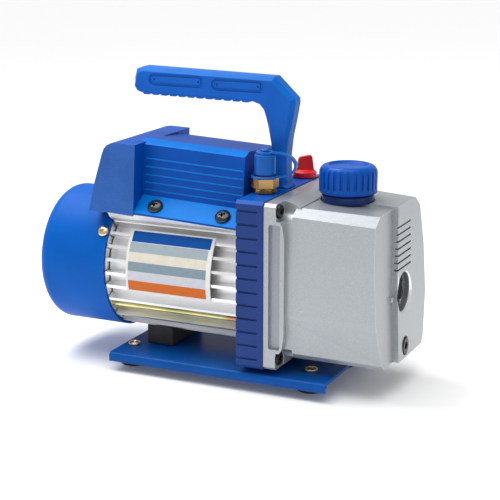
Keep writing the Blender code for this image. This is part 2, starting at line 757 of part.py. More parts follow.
def casing_screw_places():
    return [(y, z) for y in (-CASING_SCREW_Y, CASING_SCREW_Y) for z in (CASING_SCREW_LOW, CASING_SCREW_HIGH)]


def casing_section(x, blend, shrink, lean):
    """A ring of the casing at its root (blend 0) or its front (blend 1), shrunk by a wall."""
    root = [(40.0, 131.0), (48.4, 126.3), (50.4, 95.0), (50.8, 58.0), (46.6, 30.5), (42.0, 26.0)]
    front = [(31.7, 127.5), (41.2, 122.0), (46.6, 93.0), (47.3, 58.0), (38.6, 27.0), (34.2, 23.2)]
    half = []
    for (y0, z0), (y1, z1) in zip(root, front):
        y = y0 + (y1 - y0) * blend - shrink
        z = z0 + (z1 - z0) * blend
        if z > 120.0:
            z -= shrink
        if z < 35.0:
            z += shrink
        half.append((y, z))
    near = [(-y, z) for y, z in half]
    outline = near + half[::-1]
    return [(x - lean * CASING_LEAN * z, y, z) for y, z in outline]


def panel_section(x, blend, lean, step, lift):
    """The raised far part of the casing, from its near edge round the far side."""
    near_edge_top = -8.0 + 3.0 * blend
    section = casing_section(0.0, blend, 0.0, 0.0)
    far = [(y + 0.25, z) for _, y, z in section[6:]][::-1]
    top = far[0][1] + lift
    points = [(near_edge_top, top), (far[0][0], top)]
    points += [(y, z) for y, z in far[1:-1]]
    bottom = far[-1][1] - 0.3
    points += [(far[-1][0], bottom), (-15.0, bottom), (-12.5, 72.0)]
    return [(x + step - lean * CASING_LEAN * z, y, z) for y, z in points]


def make_oil_casing():
    w = BRACKET_HALF_WIDTH - FLANGE_INSET
    z0, z1 = BRACKET_Z0 + FLANGE_INSET, BRACKET_Z1 - FLANGE_INSET
    c = 2.0
    outline = [
        (-w, z0 + c), (-w, z1 - c), (-w + c, z1), (w - c, z1),
        (w, z1 - c), (w, z0 + c), (w - c, z0), (-w + c, z0),
    ]
    casing = plate("oil_casing", outline, FLANGE_X0, FLANGE_X1, "yz", "silver_paint")
    root_x, front_x = FLANGE_X1 - 3.0, CASING_FRONT_X
    body = loft("casing_body", [casing_section(root_x, 0, 0, 0), casing_section(front_x, 1, 0, 1)])
    boolean(casing, body, "UNION")
    panel = loft(
        "casing_panel",
        [panel_section(root_x + 1.3, 0, 0, 0, 1.4), panel_section(front_x, 1, 1, PANEL_STEP, 1.9)],
    )
    boolean(casing, panel, "UNION")
    inner_x = front_x - CASING_WALL
    hollow = loft(
        "casing_hollow",
        [
            casing_section(FLANGE_X0 - 4, -0.05, CASING_WALL + 1.0, 0),
            casing_section(inner_x, 0.97, CASING_WALL, 1),
        ],
    )
    boolean(casing, hollow)
    boolean(casing, cylinder("sight_boss", 17.5, (117.5, SIGHT_Y, SIGHT_Z), 7.1, "x", sides=20), "UNION")
    boolean(casing, cylinder("sight_bore", SIGHT_RADIUS, (121.4, SIGHT_Y, SIGHT_Z), 20, "x", sides=28))
    boolean(casing, cylinder("sight_port", 11.0, (110, SIGHT_Y, SIGHT_Z), 30, "x", sides=20))
    boolean(casing, cylinder("drain_seat", DRAIN_RADIUS + 0.5, (128.2, 0, DRAIN_Z), 20, "x", sides=24))
    boolean(casing, cylinder("drain_tap", 4.2, (110, 0, DRAIN_Z), 30, "x", sides=20))
    boolean(casing, cylinder("filler_bore", 12.5, (CAP_X, 0, 118.0), 30, "z", sides=24))
    boolean(casing, cylinder("filler_seat", NECK_RADIUS + 0.7, (CAP_X, 0, NECK_SEAT_Z), 30, "z", sides=28))
    for index, (y, z) in enumerate(casing_screw_places()):
        boolean(casing, cylinder(f"casing_hole_{index}", 2.9, (40.0, y, z), 30, "x", sides=12))
        boolean(casing, cylinder(f"casing_pocket_{index}", 5.1, (54.0, y, z), 12, "x", sides=16))
    for index in range(7):
        z = 115.6 - 4.8 * index
        y0 = -4.0 - 0.9 * index
        groove = box(f"panel_groove_{index}", (126.0, 140.0), (y0 - 3, 19.5 - 0.4 * index), (z - 0.7, z + 0.7))
        boolean(casing, groove)


def make_casing_screws():
    names = ("low_near", "high_near", "low_far", "high_far")
    for name, (y, z) in zip(names, casing_screw_places()):
        screw = turned(
            f"casing_screw_{name}",
            [(0.0, 59.6), (4.2, 59.6), (4.7, 59.1), (4.7, 54.4), (2.4, 54.4), (2.4, 37.0), (0.0, 37.0)],
            (0, y, z),
            "x",
            "black_steel",
            16,
        )
        boolean(screw, cylinder(f"hex_{name}", 2.4, (57.2, y, z), 5, "x", sides=6))


def make_sight_glass():
    """A clear disc on a shoulder at the bottom of its bore."""
    turned(
        "sight_glass",
        [(0.0, 125.0), (SIGHT_RADIUS - GAP, 125.0), (SIGHT_RADIUS - GAP, 121.8), (0.0, 121.8)],
        (0, SIGHT_Y, SIGHT_Z),
        "x",
        "glass",
        28,
    )


def make_drain_plug():
    plug = turned(
        "drain_plug",
        [
            (0.0, 133.2), (5.6, 133.2), (DRAIN_RADIUS, 132.4), (DRAIN_RADIUS, 128.6),
            (3.8, 128.6), (3.8, 118.0), (0.0, 118.0),
        ],
        (0, 0, DRAIN_Z),
        "x",
        "black_steel",
        28,
    )
    boolean(plug, cylinder("drain_hex", 2.9, (130.4, 0, DRAIN_Z), 8, "x", sides=6))


def make_filler():
    """The blue neck that stays in the casing, the seal and the fluted cap."""
    neck = [
        (NECK_RADIUS - 0.6, 134.9), (NECK_RADIUS, 134.3), (NECK_RADIUS, 129.7), (12.0, 129.7),
        (12.0, 122.0), (10.0, 122.0), (10.0, 134.9),
    ]
    turned("filler_neck", neck, (CAP_X, 0, 0), "z", "blue_plastic", 24, closed=True)
    ring("cap_seal", 12.6, 10.2, 135.2, 136.9, "rubber", (CAP_X, 0, 0), "z", 24, 0.5)
    outline = []
    for index in range(CAP_FLUTES):
        base = 360.0 / CAP_FLUTES * index
        outline += arc(CAP_X, 0, CAP_RADIUS, base - 3.6, base + 3.6, 1)
        valley = math.radians(base + 180.0 / CAP_FLUTES)
        depth = CAP_RADIUS - 1.0
        outline.append((CAP_X + depth * math.cos(valley), depth * math.sin(valley)))
    cap = plate("oil_cap", outline, CAP_Z0, CAP_Z1, "xy", "blue_plastic", (CAP_X, 0, CAP_Z0))
    rim = CAP_Z1 - 2.2
    boolean(cap, rim_trim(rim))
    recess = cylinder("cap_recess", 13.6, (CAP_X, 0, CAP_Z1 - 1.4), 6, "z", sides=26)
    boolean(cap, recess)
    boolean(cap, cylinder("cap_hollow", 16.6, (CAP_X, 0, CAP_Z0 - 4.0), 4.0 + 12.6, "z", sides=26))
    stem = turned_cutter(
        "cap_stem",
        [(0.0, CAP_Z1 - 3.0), (9.4, CAP_Z1 - 3.0), (9.4, 126.0), (0.0, 126.0)],
        (CAP_X, 0, 0),
        steps=20,
    )
    boolean(cap, stem, "UNION")


def rim_trim(rim):
    """A ring that rounds the cap's top edge."""
    r = CAP_RADIUS
    return turned_cutter(
        "cap_rim_trim",
        [
            (r + 3, CAP_Z1 + 2), (r + 3, rim), (r + 0.2, rim),
            (r - 2.6, CAP_Z1 + 0.02), (r - 2.6, CAP_Z1 + 2),
        ],
        (CAP_X, 0, 0),
        closed=True,
        steps=26,
    )


def turned_cutter(name, profile, centre, closed=False, axis="z", steps=36):
    tool = turned(name, profile, centre, axis, "blue_plastic", steps, closed)
    parts.objects.unlink(tool)
    cutters.objects.link(tool)
    tool.hide_render = True
    tool.display_type = "WIRE"
    return tool


# ---------------------------------------------------------------- pump mechanism


def make_cylinder_block():
    z = AXIS_Z
    outline = [(-24, z - 28), (-28, z - 24), (-28, z + 22), (-24, z + 26), (24, z + 26), (28, z + 22),
               (28, z - 24), (24, z - 28)]
    block = plate("pump_cylinder", outline, CYLINDER_X0, CYLINDER_X1, "yz", "bright_steel")
    bore = cylinder("cylinder_bore", BORE_RADIUS, (40, 0, z - BORE_DROP), 50, "x", sides=48)
    boolean(block, bore)
    boolean(block, box("discharge_port", (60, 66), (9, 13), (z + 8, z + 40)))


def make_pump_rotor():
    z = AXIS_Z
    rotor = turned(
        "pump_rotor",
        [(0.0, ROTOR_X1), (ROTOR_RADIUS, ROTOR_X1), (ROTOR_RADIUS, ROTOR_X0), (0.0, ROTOR_X0)],
        (0, 0, z),
        "x",
        "bright_steel",
        36,
    )
    half = SLOT_HEIGHT / 2
    slot = box("rotor_slot", (CYLINDER_X0 + 0.2, CYLINDER_X1 - 0.2), (-30, 30), (z - half, z + half))
    boolean(rotor, slot)
    half -= GAP
    for side, name in ((-1, "vane_near"), (1, "vane_far")):
        tip = side * (ROTOR_RADIUS - 0.4)
        y = sorted((tip, tip - side * VANE_LENGTH))
        x = (CYLINDER_X0 + 0.7, CYLINDER_X1 - 0.7)
        box(name, x, y, (z - half, z + half), "black_plastic", (62.5, tip, z))


def make_end_plate():
    disc = turned(
        "end_plate",
        [(0.0, 87.5), (26.0, 87.5), (27.0, 86.5), (27.0, CYLINDER_X1 + GAP), (0.0, CYLINDER_X1 + GAP)],
        (0, 0, AXIS_Z),
        "x",
        "bright_steel",
        28,
    )
    boolean(disc, cylinder("plate_bore", ROTOR_RADIUS + 0.6, (60, 0, AXIS_Z), 23.6, "x", sides=32))


def make_discharge_valve():
    seat = AXIS_Z + 26 + GAP
    box("discharge_valve", (58.5, 67.5), (-2.0, 15.0), (seat, seat + 0.5), "bright_steel", (63, -2.0, seat))


# ---------------------------------------------------------------- fittings on the bracket


def make_exhaust_plug():
    x, y, z = EXHAUST_X, EXHAUST_Y, BRACKET_Z1 + GAP
    profile = [
        (0.0, z + 4.4), (8.2, z + 4.2), (9.0, z + 3.4), (9.0, z + 0.8), (8.4, z),
        (4.9, z), (4.9, z - 7.0), (0.0, z - 7.0),
    ]
    plug = turned("exhaust_plug", profile, (x, y, 0), "z", "red_plastic", 24)
    outline = [(-6.8, z + 3.2), (6.8, z + 3.2), (5.2, z + 15.7), (-4.4, z + 14.9), (-5.4, z + 7.0)]
    turn = (
        Matrix.Translation(Vector((x, y, 0)) * MM)
        @ Matrix.Rotation(math.radians(28), 4, "Z")
    )
    wing = plate("plug_wing", outline, -2.2, 2.2, "xz", turn=turn)
    boolean(plug, wing, "UNION")


def make_inlet():
    """The brass inlet, the blue cap on its flare and the strap that holds the cap."""
    x, y, z = INLET_X, INLET_Y, BRACKET_Z1 + GAP
    fitting = [
        (4.4, z + 20.0), (5.6, z + 19.0), (5.6, z + 11.2), (7.6, z + 11.2), (7.6, z), (5.0, z),
        (5.0, z - 9.0), (3.0, z - 9.0), (3.0, z + 20.0),
    ]
    brass = turned("inlet_fitting", fitting, (x, y, 0), "z", "brass", 18, closed=True)
    hexagon = cylinder("inlet_hex", 9.6, (x, y, z + 3.6), 6.6, "z", sides=6)
    boolean(hexagon, cylinder("inlet_hex_bore", 4.0, (x, y, z), 20, "z", sides=24))
    boolean(brass, hexagon, "UNION")
    cap = [
        (0.0, z + 28.4), (3.6, z + 28.4), (3.6, z + 26.6), (6.6, z + 26.6), (7.4, z + 25.6),
        (7.4, z + 12.4), (5.6 + GAP, z + 12.4), (5.6 + GAP, z + 21.0), (0.0, z + 21.0),
    ]
    turned("inlet_cap", cap, (x, y, 0), "z", "blue_plastic", 20)
    make_cap_strap(x, y, z)


def make_cap_strap(x, y, z):
    """A flat ribbon from a ring under the cap, out in a loop, to a ring over its button."""
    low = z + 10.5
    strap = turned("cap_strap", [(9.6, low + 1.4), (9.6, low), (7.9, low), (7.9, low + 1.4)], (x, y, 0), "z",
                   "blue_plastic", 20, closed=True)
    top = z + 27.0
    upper = turned_cutter("strap_top_ring", [(6.2, top + 1.2), (6.2, top), (4.0, top), (4.0, top + 1.2)],
                          (x, y, 0), closed=True)
    reach = 10.5
    middle = (low + 0.7 + top + 0.6) / 2
    rise = (top + 0.6 - low - 0.7) / 2
    centre = 9.0
    outside = [(5.4, top + 1.2)] + arc(centre, middle, rise + 0.6, 90, -90, 10) + [(8.6, low)]
    outside = [(u if u <= centre else centre + (u - centre) * reach / rise, v) for u, v in outside]
    inside = [(8.6, low + 1.4)] + arc(centre, middle, rise - 0.7, -90, 90, 10) + [(5.4, top)]
    inside = [(u if u <= centre else centre + (u - centre) * reach / rise, v) for u, v in inside]
    turn = Matrix.Translation(Vector((x, y, 0)) * MM) @ Matrix.Rotation(math.radians(10), 4, "Z")
    loop = plate("strap_loop", outside + inside, -2.4, 2.4, "xz", turn=turn)
    boolean(strap, loop, "UNION")
    boolean(strap, upper, "UNION")


# ---------------------------------------------------------------- handle


def handle_outline():
    """Side view of the handle: post, chamfered knuckle, grip and scalloped underside."""
    z = BRACKET_Z1 + GAP
    outline = [(34.2, z), (46.8, z), (45.0, 146.0), (44.5, 157.7), (45.8, 170.3), (48.8, 184.0)]
    outline += [(50.7, 194.8), (50.4, 197.8), (35.1, 212.3), (-67.0, 214.3), (-73.2, 211.8)]
    outline += [(-74.0, 205.6), (-72.6, 198.4), (-68.7, 196.4)]
    teeth, x0, x1 = 11, -66.0, 18.0
    pitch = (x1 - x0) / teeth
    for index in range(teeth):
        x = x0 + pitch * index
        drop = 195.3 - 1.4 * index / teeth
        outline += [(x, drop + 0.9), (x + pitch * 0.3, drop), (x + pitch * 0.72, drop)]
    outline += [(19.0, 194.6), (24.6, 193.2), (27.7, 189.4), (31.0, 176.0), (34.0, 161.0), (34.8, 150.0)]
    return outline


def make_handle():
    half = GRIP_HALF_WIDTH
    handle = plate("handle", handle_outline(), -half, half, "xz", "blue_plastic")
    for side in (-1, 1):
        for index, (x0, x1, z) in enumerate(((-59.0, -20.5, 205.6), (-12.5, 26.5, 204.8))):
            outline = arc(x0 + 4.4, z, 4.4, 270, 90, 6) + arc(x1 - 4.4, z, 4.4, 90, -90, 6)
            y = sorted((side * (half - 1.0), side * (half + 4.0)))
            boolean(handle, plate(f"grip_recess_{side + 1}_{index}", outline, y[0], y[1], "xz"))
    boolean(handle, cylinder("handle_bore", 2.9, (HANDLE_BASE_X, 0, 130), 16, "z", sides=16))
    return handle


def build():
    global parts, cutters
    reset_scene()
    parts = new_collection("rotary_vane_vacuum_pump")
    cutters = new_collection("cutters")
    make_materials()
    make_base()
    make_feet()
    make_motor_support()
    make_housing()
    make_stator()
    make_rotor()
    make_end_shield()
    make_fan_cover()
    make_cover_screws()
    make_tie_rods()
    make_label()
    make_terminal_box()
    make_box_screws()
    make_switch()
    make_power_inlet()
    make_capacitor()
    make_bracket()
    make_bearing_and_seal()
    make_oil_casing()
    make_casing_screws()
    make_sight_glass()
    make_drain_plug()
    make_filler()
    make_cylinder_block()
    make_pump_rotor()
    make_end_plate()
    make_discharge_valve()
    make_exhaust_plug()
    make_inlet()
    make_handle()


build()
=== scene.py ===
"""Looks for the rotary vane vacuum pump: fine shells, fasteners and procedural materials."""

import math

import bmesh
import bpy
from mathutils import Matrix, Vector


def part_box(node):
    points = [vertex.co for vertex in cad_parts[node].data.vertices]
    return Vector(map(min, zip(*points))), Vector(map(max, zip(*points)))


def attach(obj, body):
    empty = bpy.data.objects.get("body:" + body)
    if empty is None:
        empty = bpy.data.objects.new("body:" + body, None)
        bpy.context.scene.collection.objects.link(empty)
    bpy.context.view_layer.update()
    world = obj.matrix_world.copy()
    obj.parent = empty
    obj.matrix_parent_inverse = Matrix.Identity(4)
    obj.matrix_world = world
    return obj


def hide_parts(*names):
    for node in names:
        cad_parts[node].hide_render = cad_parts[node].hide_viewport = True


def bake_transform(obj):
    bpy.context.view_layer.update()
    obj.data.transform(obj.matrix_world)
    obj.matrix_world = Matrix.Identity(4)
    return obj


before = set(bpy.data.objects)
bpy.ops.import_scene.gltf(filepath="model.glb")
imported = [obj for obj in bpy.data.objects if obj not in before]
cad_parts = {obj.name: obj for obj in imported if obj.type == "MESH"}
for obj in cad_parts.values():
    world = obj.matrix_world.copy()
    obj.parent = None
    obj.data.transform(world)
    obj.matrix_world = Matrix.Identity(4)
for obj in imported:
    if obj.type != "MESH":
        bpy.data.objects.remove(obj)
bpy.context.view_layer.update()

MM = 0.001
GAP = 0.35  # clearance between faces that meet, in millimetres
SIDES = (("near", -1), ("far", 1))  # name and sign of y of the label side and of the other one
FOOT_CORNERS = ("rear_near", "rear_far", "front_near", "front_far")
SCREW_CORNERS = ("low_near", "high_near", "low_far", "high_far")


def box_mm(node):
    """Lowest and highest corner of a CAD node, in millimetres."""
    low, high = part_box(node)
    return low / MM, high / MM


def centre_mm(node):
    """Middle of a CAD node's box, in millimetres."""
    low, high = box_mm(node)
    return (low + high) / 2


# ------------------------------------------------------------------ places taken from the frame

SHAFT_LOW, SHAFT_HIGH = box_mm("motor_shaft")
AXIS_Z = (SHAFT_LOW.z + SHAFT_HIGH.z) / 2
COVER_LOW, COVER_HIGH = box_mm("fan_cover")
COVER_R = (COVER_HIGH.z - COVER_LOW.z) / 2
HOUSING_LOW, HOUSING_HIGH = box_mm("stator_housing")
FIN_R = (HOUSING_HIGH.y - HOUSING_LOW.y) / 2
BRACKET_HALF_Y = box_mm("pump_bracket")[1].y
CAP_LOW, CAP_HIGH = box_mm("oil_cap")
CAP_X = centre_mm("oil_cap").x
INLET = centre_mm("inlet_fitting")
SIGHT = centre_mm("sight_glass")
DECK_Z = 135.1  # top of the bracket's deck
BOX_TILT = math.radians(2.7)
BOX_PIVOT = Vector((-55.0, 0.0, 117.0))


# ------------------------------------------------------------------ mesh helpers

AXIS_TURN = {
    "x": Matrix.Rotation(math.pi / 2, 4, "Y"),
    "y": Matrix.Rotation(-math.pi / 2, 4, "X"),
    "z": Matrix.Identity(4),
}
PLANE_TURN = {
    "yz": Matrix(((0, 0, 1, 0), (1, 0, 0, 0), (0, 1, 0, 0), (0, 0, 0, 1))),
    "xz": Matrix(((1, 0, 0, 0), (0, 0, -1, 0), (0, 1, 0, 0), (0, 0, 0, 1))),
    "xy": Matrix.Identity(4),
}


def link(name, bm, turn=None, sharp=32):
    """Make an object from a bmesh given in millimetres, turned by a matrix in millimetres."""
    scale = Matrix.Diagonal((MM, MM, MM, 1))
    bmesh.ops.transform(bm, matrix=scale @ (turn or Matrix()), verts=bm.verts)
    bmesh.ops.recalc_face_normals(bm, faces=bm.faces)
    mesh = bpy.data.meshes.new(name)
    bm.to_mesh(mesh)
    bm.free()
    mesh.shade_smooth()
    mesh.set_sharp_from_angle(angle=math.radians(sharp))
    obj = bpy.data.objects.new(name, mesh)
    bpy.context.scene.collection.objects.link(obj)
    return obj


def extruded(name, outline, low, high, plane="yz", turn=None):
    """A closed outline drawn in a plane and drawn out between two places along its normal."""
    bm = bmesh.new()
    sign = -1 if plane == "xz" else 1
    ends = [[bm.verts.new((u, v, sign * w)) for u, v in outline] for w in (low, high)]
    count = len(outline)
    for i in range(count):
        j = (i + 1) % count
        bm.faces.new((ends[0][i], ends[0][j], ends[1][j], ends[1][i]))
    bm.faces.new(ends[0])
    bm.faces.new(ends[1])
    return link(name, bm, (turn or Matrix()) @ PLANE_TURN[plane])


def lofted(name, rings, turn=None, sharp=32):
    """Skin rings of equal count and cap both ends."""
    bm = bmesh.new()
    verts = [[bm.verts.new(p) for p in ring] for ring in rings]
    count = len(verts[0])
    for near, far in zip(verts, verts[1:]):
        for i in range(count):
            j = (i + 1) % count
            bm.faces.new((near[i], near[j], far[j], far[i]))
    bm.faces.new(verts[0])
    bm.faces.new(verts[-1])
    return link(name, bm, turn, sharp)


def turned(name, profile, centre, axis="x", steps=72, closed=False, turn=None):
    """A lathe shape from (radius, height) pairs about an axis through a centre."""
    bm = bmesh.new()
    rings = []
    for radius, height in profile:
        if radius < 1e-6:
            rings.append([bm.verts.new((0, 0, height))])
            continue
        angles = [2 * math.pi * i / steps for i in range(steps)]
        ring = [(radius * math.cos(a), radius * math.sin(a), height) for a in angles]
        rings.append([bm.verts.new(p) for p in ring])
    pairs = list(zip(rings, rings[1:]))
    if closed:
        pairs.append((rings[-1], rings[0]))
    for near, far in pairs:
        for i in range(steps):
            j = (i + 1) % steps
            corners = [near[i % len(near)], near[j % len(near)]]
            corners += [far[j % len(far)], far[i % len(far)]]
            face = list(dict.fromkeys(corners))
            if len(face) > 2:
                bm.faces.new(face)
    place = Matrix.Translation(Vector(centre))
    return link(name, bm, (turn or Matrix()) @ place @ AXIS_TURN[axis])


def block(name, x, y, z):
    """A box between two places on each axis."""
    outline = [(x[0], z[0]), (x[1], z[0]), (x[1], z[1]), (x[0], z[1])]
    return extruded(name, outline, y[0], y[1], "xz")


def rod(name, radius, start, length, axis, steps):
    """A plain cylinder from a start, along an axis."""
    profile = [(0, 0), (radius, 0), (radius, length), (0, length)]
    return turned(name, profile, start, axis, steps)


def arc(u, v, radius, start, end, steps):
    """Points on a circle about (u, v), between two angles in degrees."""
    points = []
    for i in range(steps + 1):
        a = math.radians(start + (end - start) * i / steps)
        points.append((u + radius * math.cos(a), v + radius * math.sin(a)))
    return points


def rounded(u0, u1, v0, v1, radius, steps=4):
    """A rectangle with round corners."""
    points = arc(u1 - radius, v0 + radius, radius, -90, 0, steps)
    points += arc(u1 - radius, v1 - radius, radius, 0, 90, steps)
    points += arc(u0 + radius, v1 - radius, radius, 90, 180, steps)
    return points + arc(u0 + radius, v0 + radius, radius, 180, 270, steps)


def stadium(u0, u1, v, radius, steps=10):
    """A slot shape between two end centres."""
    return arc(u1, v, radius, -90, 90, steps) + arc(u0, v, radius, 90, 270, steps)


def span(side, near, far):
    """Two distances from the middle plane as ordered places on one side of it."""
    return sorted((side * near, side * far))


def settle(obj):
    """Apply an object's modifiers to its mesh."""
    graph = bpy.context.evaluated_depsgraph_get()
    mesh = bpy.data.meshes.new_from_object(obj.evaluated_get(graph))
    old = obj.data
    obj.modifiers.clear()
    obj.data = mesh
    bpy.data.meshes.remove(old)
    return obj


def combine(obj, tools, operation="DIFFERENCE"):
    """Cut tools from an object, or join them to it, and remove the tools."""
    for tool in tools:
        modifier = obj.modifiers.new("Combine", "BOOLEAN")
        modifier.operation = operation
        modifier.object = tool
        modifier.solver = "EXACT"
    settle(obj)
    for tool in tools:
        bpy.data.objects.remove(tool, do_unlink=True)
    return obj


def soften(obj, width, segments=2, angle=32):
    """Round every edge sharper than an angle, and keep flat faces flat in shading."""
    bevel = obj.modifiers.new("Edges", "BEVEL")
    bevel.width = width * MM
    bevel.segments = segments
    bevel.limit_method = "ANGLE"
    bevel.angle_limit = math.radians(angle)
    bevel.use_clamp_overlap = True
    bevel.miter_outer = "MITER_ARC"
    normals = obj.modifiers.new("Normals", "WEIGHTED_NORMAL")
    normals.keep_sharp = True
    return obj


def dress(obj, material, slot, body, *replaced):
    """Give a piece its material and its body, and hide the CAD nodes it stands for; the slot is not
    used.
    """
    obj.data.materials.clear()
    obj.data.materials.append(MATERIALS[material])
    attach(obj, body)
    if replaced:
        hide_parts(*replaced)
    return obj


# ------------------------------------------------------------------ materials

MATERIALS = {}
# Cosine between the rounded and the true normal where the painted edge highlight starts, and is
# strongest
HIGHLIGHT_DOTS = (0.985, 0.90)


class Shader:
    """A Principled material with a few procedural layers over it."""

    def __init__(self, name, roughness, metallic=0.0, **sockets):
        self.material = bpy.data.materials.new(name)
        self.material.use_nodes = True
        self.tree = self.material.node_tree
        self.shader = self.tree.nodes["Principled BSDF"]
        self.shader.inputs["Roughness"].default_value = roughness
        self.shader.inputs["Metallic"].default_value = metallic
        for socket, value in sockets.items():
            self.shader.inputs[socket.replace("_", " ")].default_value = value
        self.place = self.tree.nodes.new("ShaderNodeTexCoord").outputs["Object"]
        self.normal = None
        MATERIALS[name] = self.material

    def add(self, kind, inputs=None, **settings):
        """A node of a kind, its inputs linked or set."""
        node = self.tree.nodes.new("ShaderNode" + kind)
        for key, value in settings.items():
            setattr(node, key, value)
        for key, value in (inputs or {}).items():
            if isinstance(value, bpy.types.NodeSocket):
                self.tree.links.new(value, node.inputs[key])
            else:
                node.inputs[key].default_value = value
        return node

    def stretched(self, x, y, z):
        """Object coordinates scaled along each axis, so that a pattern draws out into streaks."""
        return self.add("Mapping", {"Vector": self.place, "Scale": (x, y, z)}).outputs["Vector"]

    def noise(self, scale, detail=2.0, rough=0.5, place=None):
        """A cloudy pattern from 0 to 1; its scale is features per metre."""
        inputs = {"Vector": place or self.place, "Scale": scale, "Detail": detail}
        inputs["Roughness"] = rough
        return self.add("TexNoise", inputs).outputs["Fac"]

    def ramp(self, factor, stops):
        """A colour that runs through (position, colour) stops as a factor rises."""
        node = self.add("ValToRGB", {"Fac": factor})
        elements = node.color_ramp.elements
        while len(elements) < len(stops):
            elements.new(0.5)
        for element, (position, colour) in zip(elements, stops):
            element.position = position
            element.color = (*colour, 1.0)
        return node.outputs["Color"]

    def colour(self, source):
        self.tree.links.new(source, self.shader.inputs["Base Color"])
        return self

    def rough(self, factor, low, high):
        node = self.add("MapRange", {"Value": factor, "To Min": low, "To Max": high})
        self.tree.links.new(node.outputs["Result"], self.shader.inputs["Roughness"])
        return self

    def highlight_edges(self, source, colour, amount, width=0.45):
        """Lighten a colour where the surface turns sharply: a painted highlight for the light that
        rounded edges catch.
        """
        round_normal = self.add("Bevel", {"Radius": width * MM}, samples=4).outputs["Normal"]
        true_normal = self.add("NewGeometry").outputs["Normal"]
        dot = self.add("VectorMath", operation="DOT_PRODUCT")
        self.tree.links.new(round_normal, dot.inputs[0])
        self.tree.links.new(true_normal, dot.inputs[1])
        flat, sharp = HIGHLIGHT_DOTS
        bend = dot.outputs["Value"]
        limits = {"From Min": flat, "From Max": sharp, "To Max": amount}
        mask = self.add("MapRange", {"Value": bend, **limits})
        mixed = self.add("Mix", {0: mask.outputs["Result"], 7: (*colour, 1.0)}, data_type="RGBA")
        self.tree.links.new(source, mixed.inputs[6])
        return mixed.outputs[2]

    def bump(self, height, strength, distance):
        inputs = {"Height": height, "Strength": strength, "Distance": distance * MM}
        if self.normal is not None:
            inputs["Normal"] = self.normal
        self.normal = self.add("Bump", inputs).outputs["Normal"]
        self.tree.links.new(self.normal, self.shader.inputs["Normal"])
        return self


def shade(colour, factor):
    return tuple(min(1.0, c * factor) for c in colour)


def highlight_colour(colour):
    """The pale colour painted along a colour's sharp edges as a highlight."""
    return tuple(c * 1.25 + 0.06 * w for c, w in zip(colour, (0.2, 1.0, 1.4)))


def plastic(name, colour, roughness, grain=0.0, grain_scale=1500.0, coat=0.0, gloss=0.18):
    """Moulded plastic: slight mottling, and a spark-eroded grain where it has one."""
    s = Shader(name, roughness, Coat_Weight=coat, Coat_Roughness=0.12, Specular_IOR_Level=gloss)
    mottle = s.noise(45.0, 3.0)
    speck = s.noise(grain_scale, 2.0, 0.6)
    base = s.ramp(mottle, [(0.3, shade(colour, 0.90)), (0.7, shade(colour, 1.10))])
    fleck = s.ramp(speck, [(0.35, (0.80, 0.80, 0.80)), (0.68, (1.0, 1.0, 1.0))])
    mixed = s.add("Mix", {0: min(1.0, 0.25 + grain)}, data_type="RGBA", blend_type="MULTIPLY")
    s.tree.links.new(base, mixed.inputs[6])
    s.tree.links.new(fleck, mixed.inputs[7])
    # Sharp edges are lightened: painted highlight.
    s.colour(s.highlight_edges(mixed.outputs[2], highlight_colour(colour), 0.55))
    s.rough(speck, roughness - 0.05, roughness + 0.07)
    s.bump(speck, 0.25 + grain * 0.6, 0.03 + grain * 0.10)
    s.bump(s.noise(160.0, 2.0), 0.12, 0.05)
    return s


def paint(name, colour, roughness, orange_peel, coat, gloss, edge=None):
    """Powder coat: orange peel, soft mottling and a clear top."""
    s = Shader(name, roughness, Coat_Weight=coat, Coat_Roughness=0.16, Specular_IOR_Level=gloss)
    base = s.ramp(s.noise(30.0, 4.0), [(0.3, shade(colour, 0.90)), (0.7, shade(colour, 1.10))])
    # Sharp edges take the edge colour: painted highlight.
    s.colour(s.highlight_edges(base, edge or highlight_colour(colour), 0.5))
    s.rough(s.noise(220.0, 3.0), roughness - 0.05, roughness + 0.08)
    s.bump(s.noise(420.0, 2.0), orange_peel, 0.06)
    s.bump(s.noise(60.0, 2.0), 0.10, 0.10)
    return s


FLAKE_TONES = ((0.0, 0.86), (0.4, 0.97), (0.8, 1.0), (1.0, 1.22))
ZINC_TINTS = (
    (0.30, (0.60, 0.56, 0.30)),
    (0.45, (0.80, 0.68, 0.34)),
    (0.58, (0.86, 0.66, 0.42)),
    (0.70, (0.62, 0.66, 0.40)),
)
ROD_TINTS = ((0.35, (0.52, 0.53, 0.22)), (0.50, (0.78, 0.70, 0.30)), (0.65, (0.60, 0.62, 0.34)))
BARE_TINTS = ((0.35, (0.45, 0.20, 0.09)), (0.65, (0.62, 0.33, 0.16)))
ROD_FADE = (0.010, 0.016)  # metres along X over which the rods' plating gives way to bare steel


def sparkle_paint(name, colour):
    """Metallic paint over a sand casting: bright flakes, darker specks and a fine tooth."""
    s = Shader(name, 0.40, 0.55, Coat_Weight=0.15, Coat_Roughness=0.22)
    flake = s.add("TexVoronoi", {"Vector": s.place, "Scale": 2600.0}).outputs["Color"]
    value = s.add("SeparateColor", {"Color": flake}).outputs["Red"]
    tones = [(place, shade(colour, factor)) for place, factor in FLAKE_TONES]
    mixed = s.add("Mix", {0: 0.30}, data_type="RGBA", blend_type="MULTIPLY")
    s.tree.links.new(s.ramp(value, tones), mixed.inputs[6])
    cloud = s.ramp(s.noise(24.0, 4.0), [(0.3, (0.86, 0.87, 0.89)), (0.7, (1.0, 1.0, 1.0))])
    s.tree.links.new(cloud, mixed.inputs[7])
    # Sharp edges are brightened: painted highlight.
    s.colour(s.highlight_edges(mixed.outputs[2], shade(colour, 1.7), 0.8))
    s.rough(value, 0.30, 0.52)
    s.bump(s.noise(1100.0, 3.0, 0.6), 0.30, 0.05)
    s.bump(s.noise(140.0, 2.0), 0.12, 0.08)
    return s


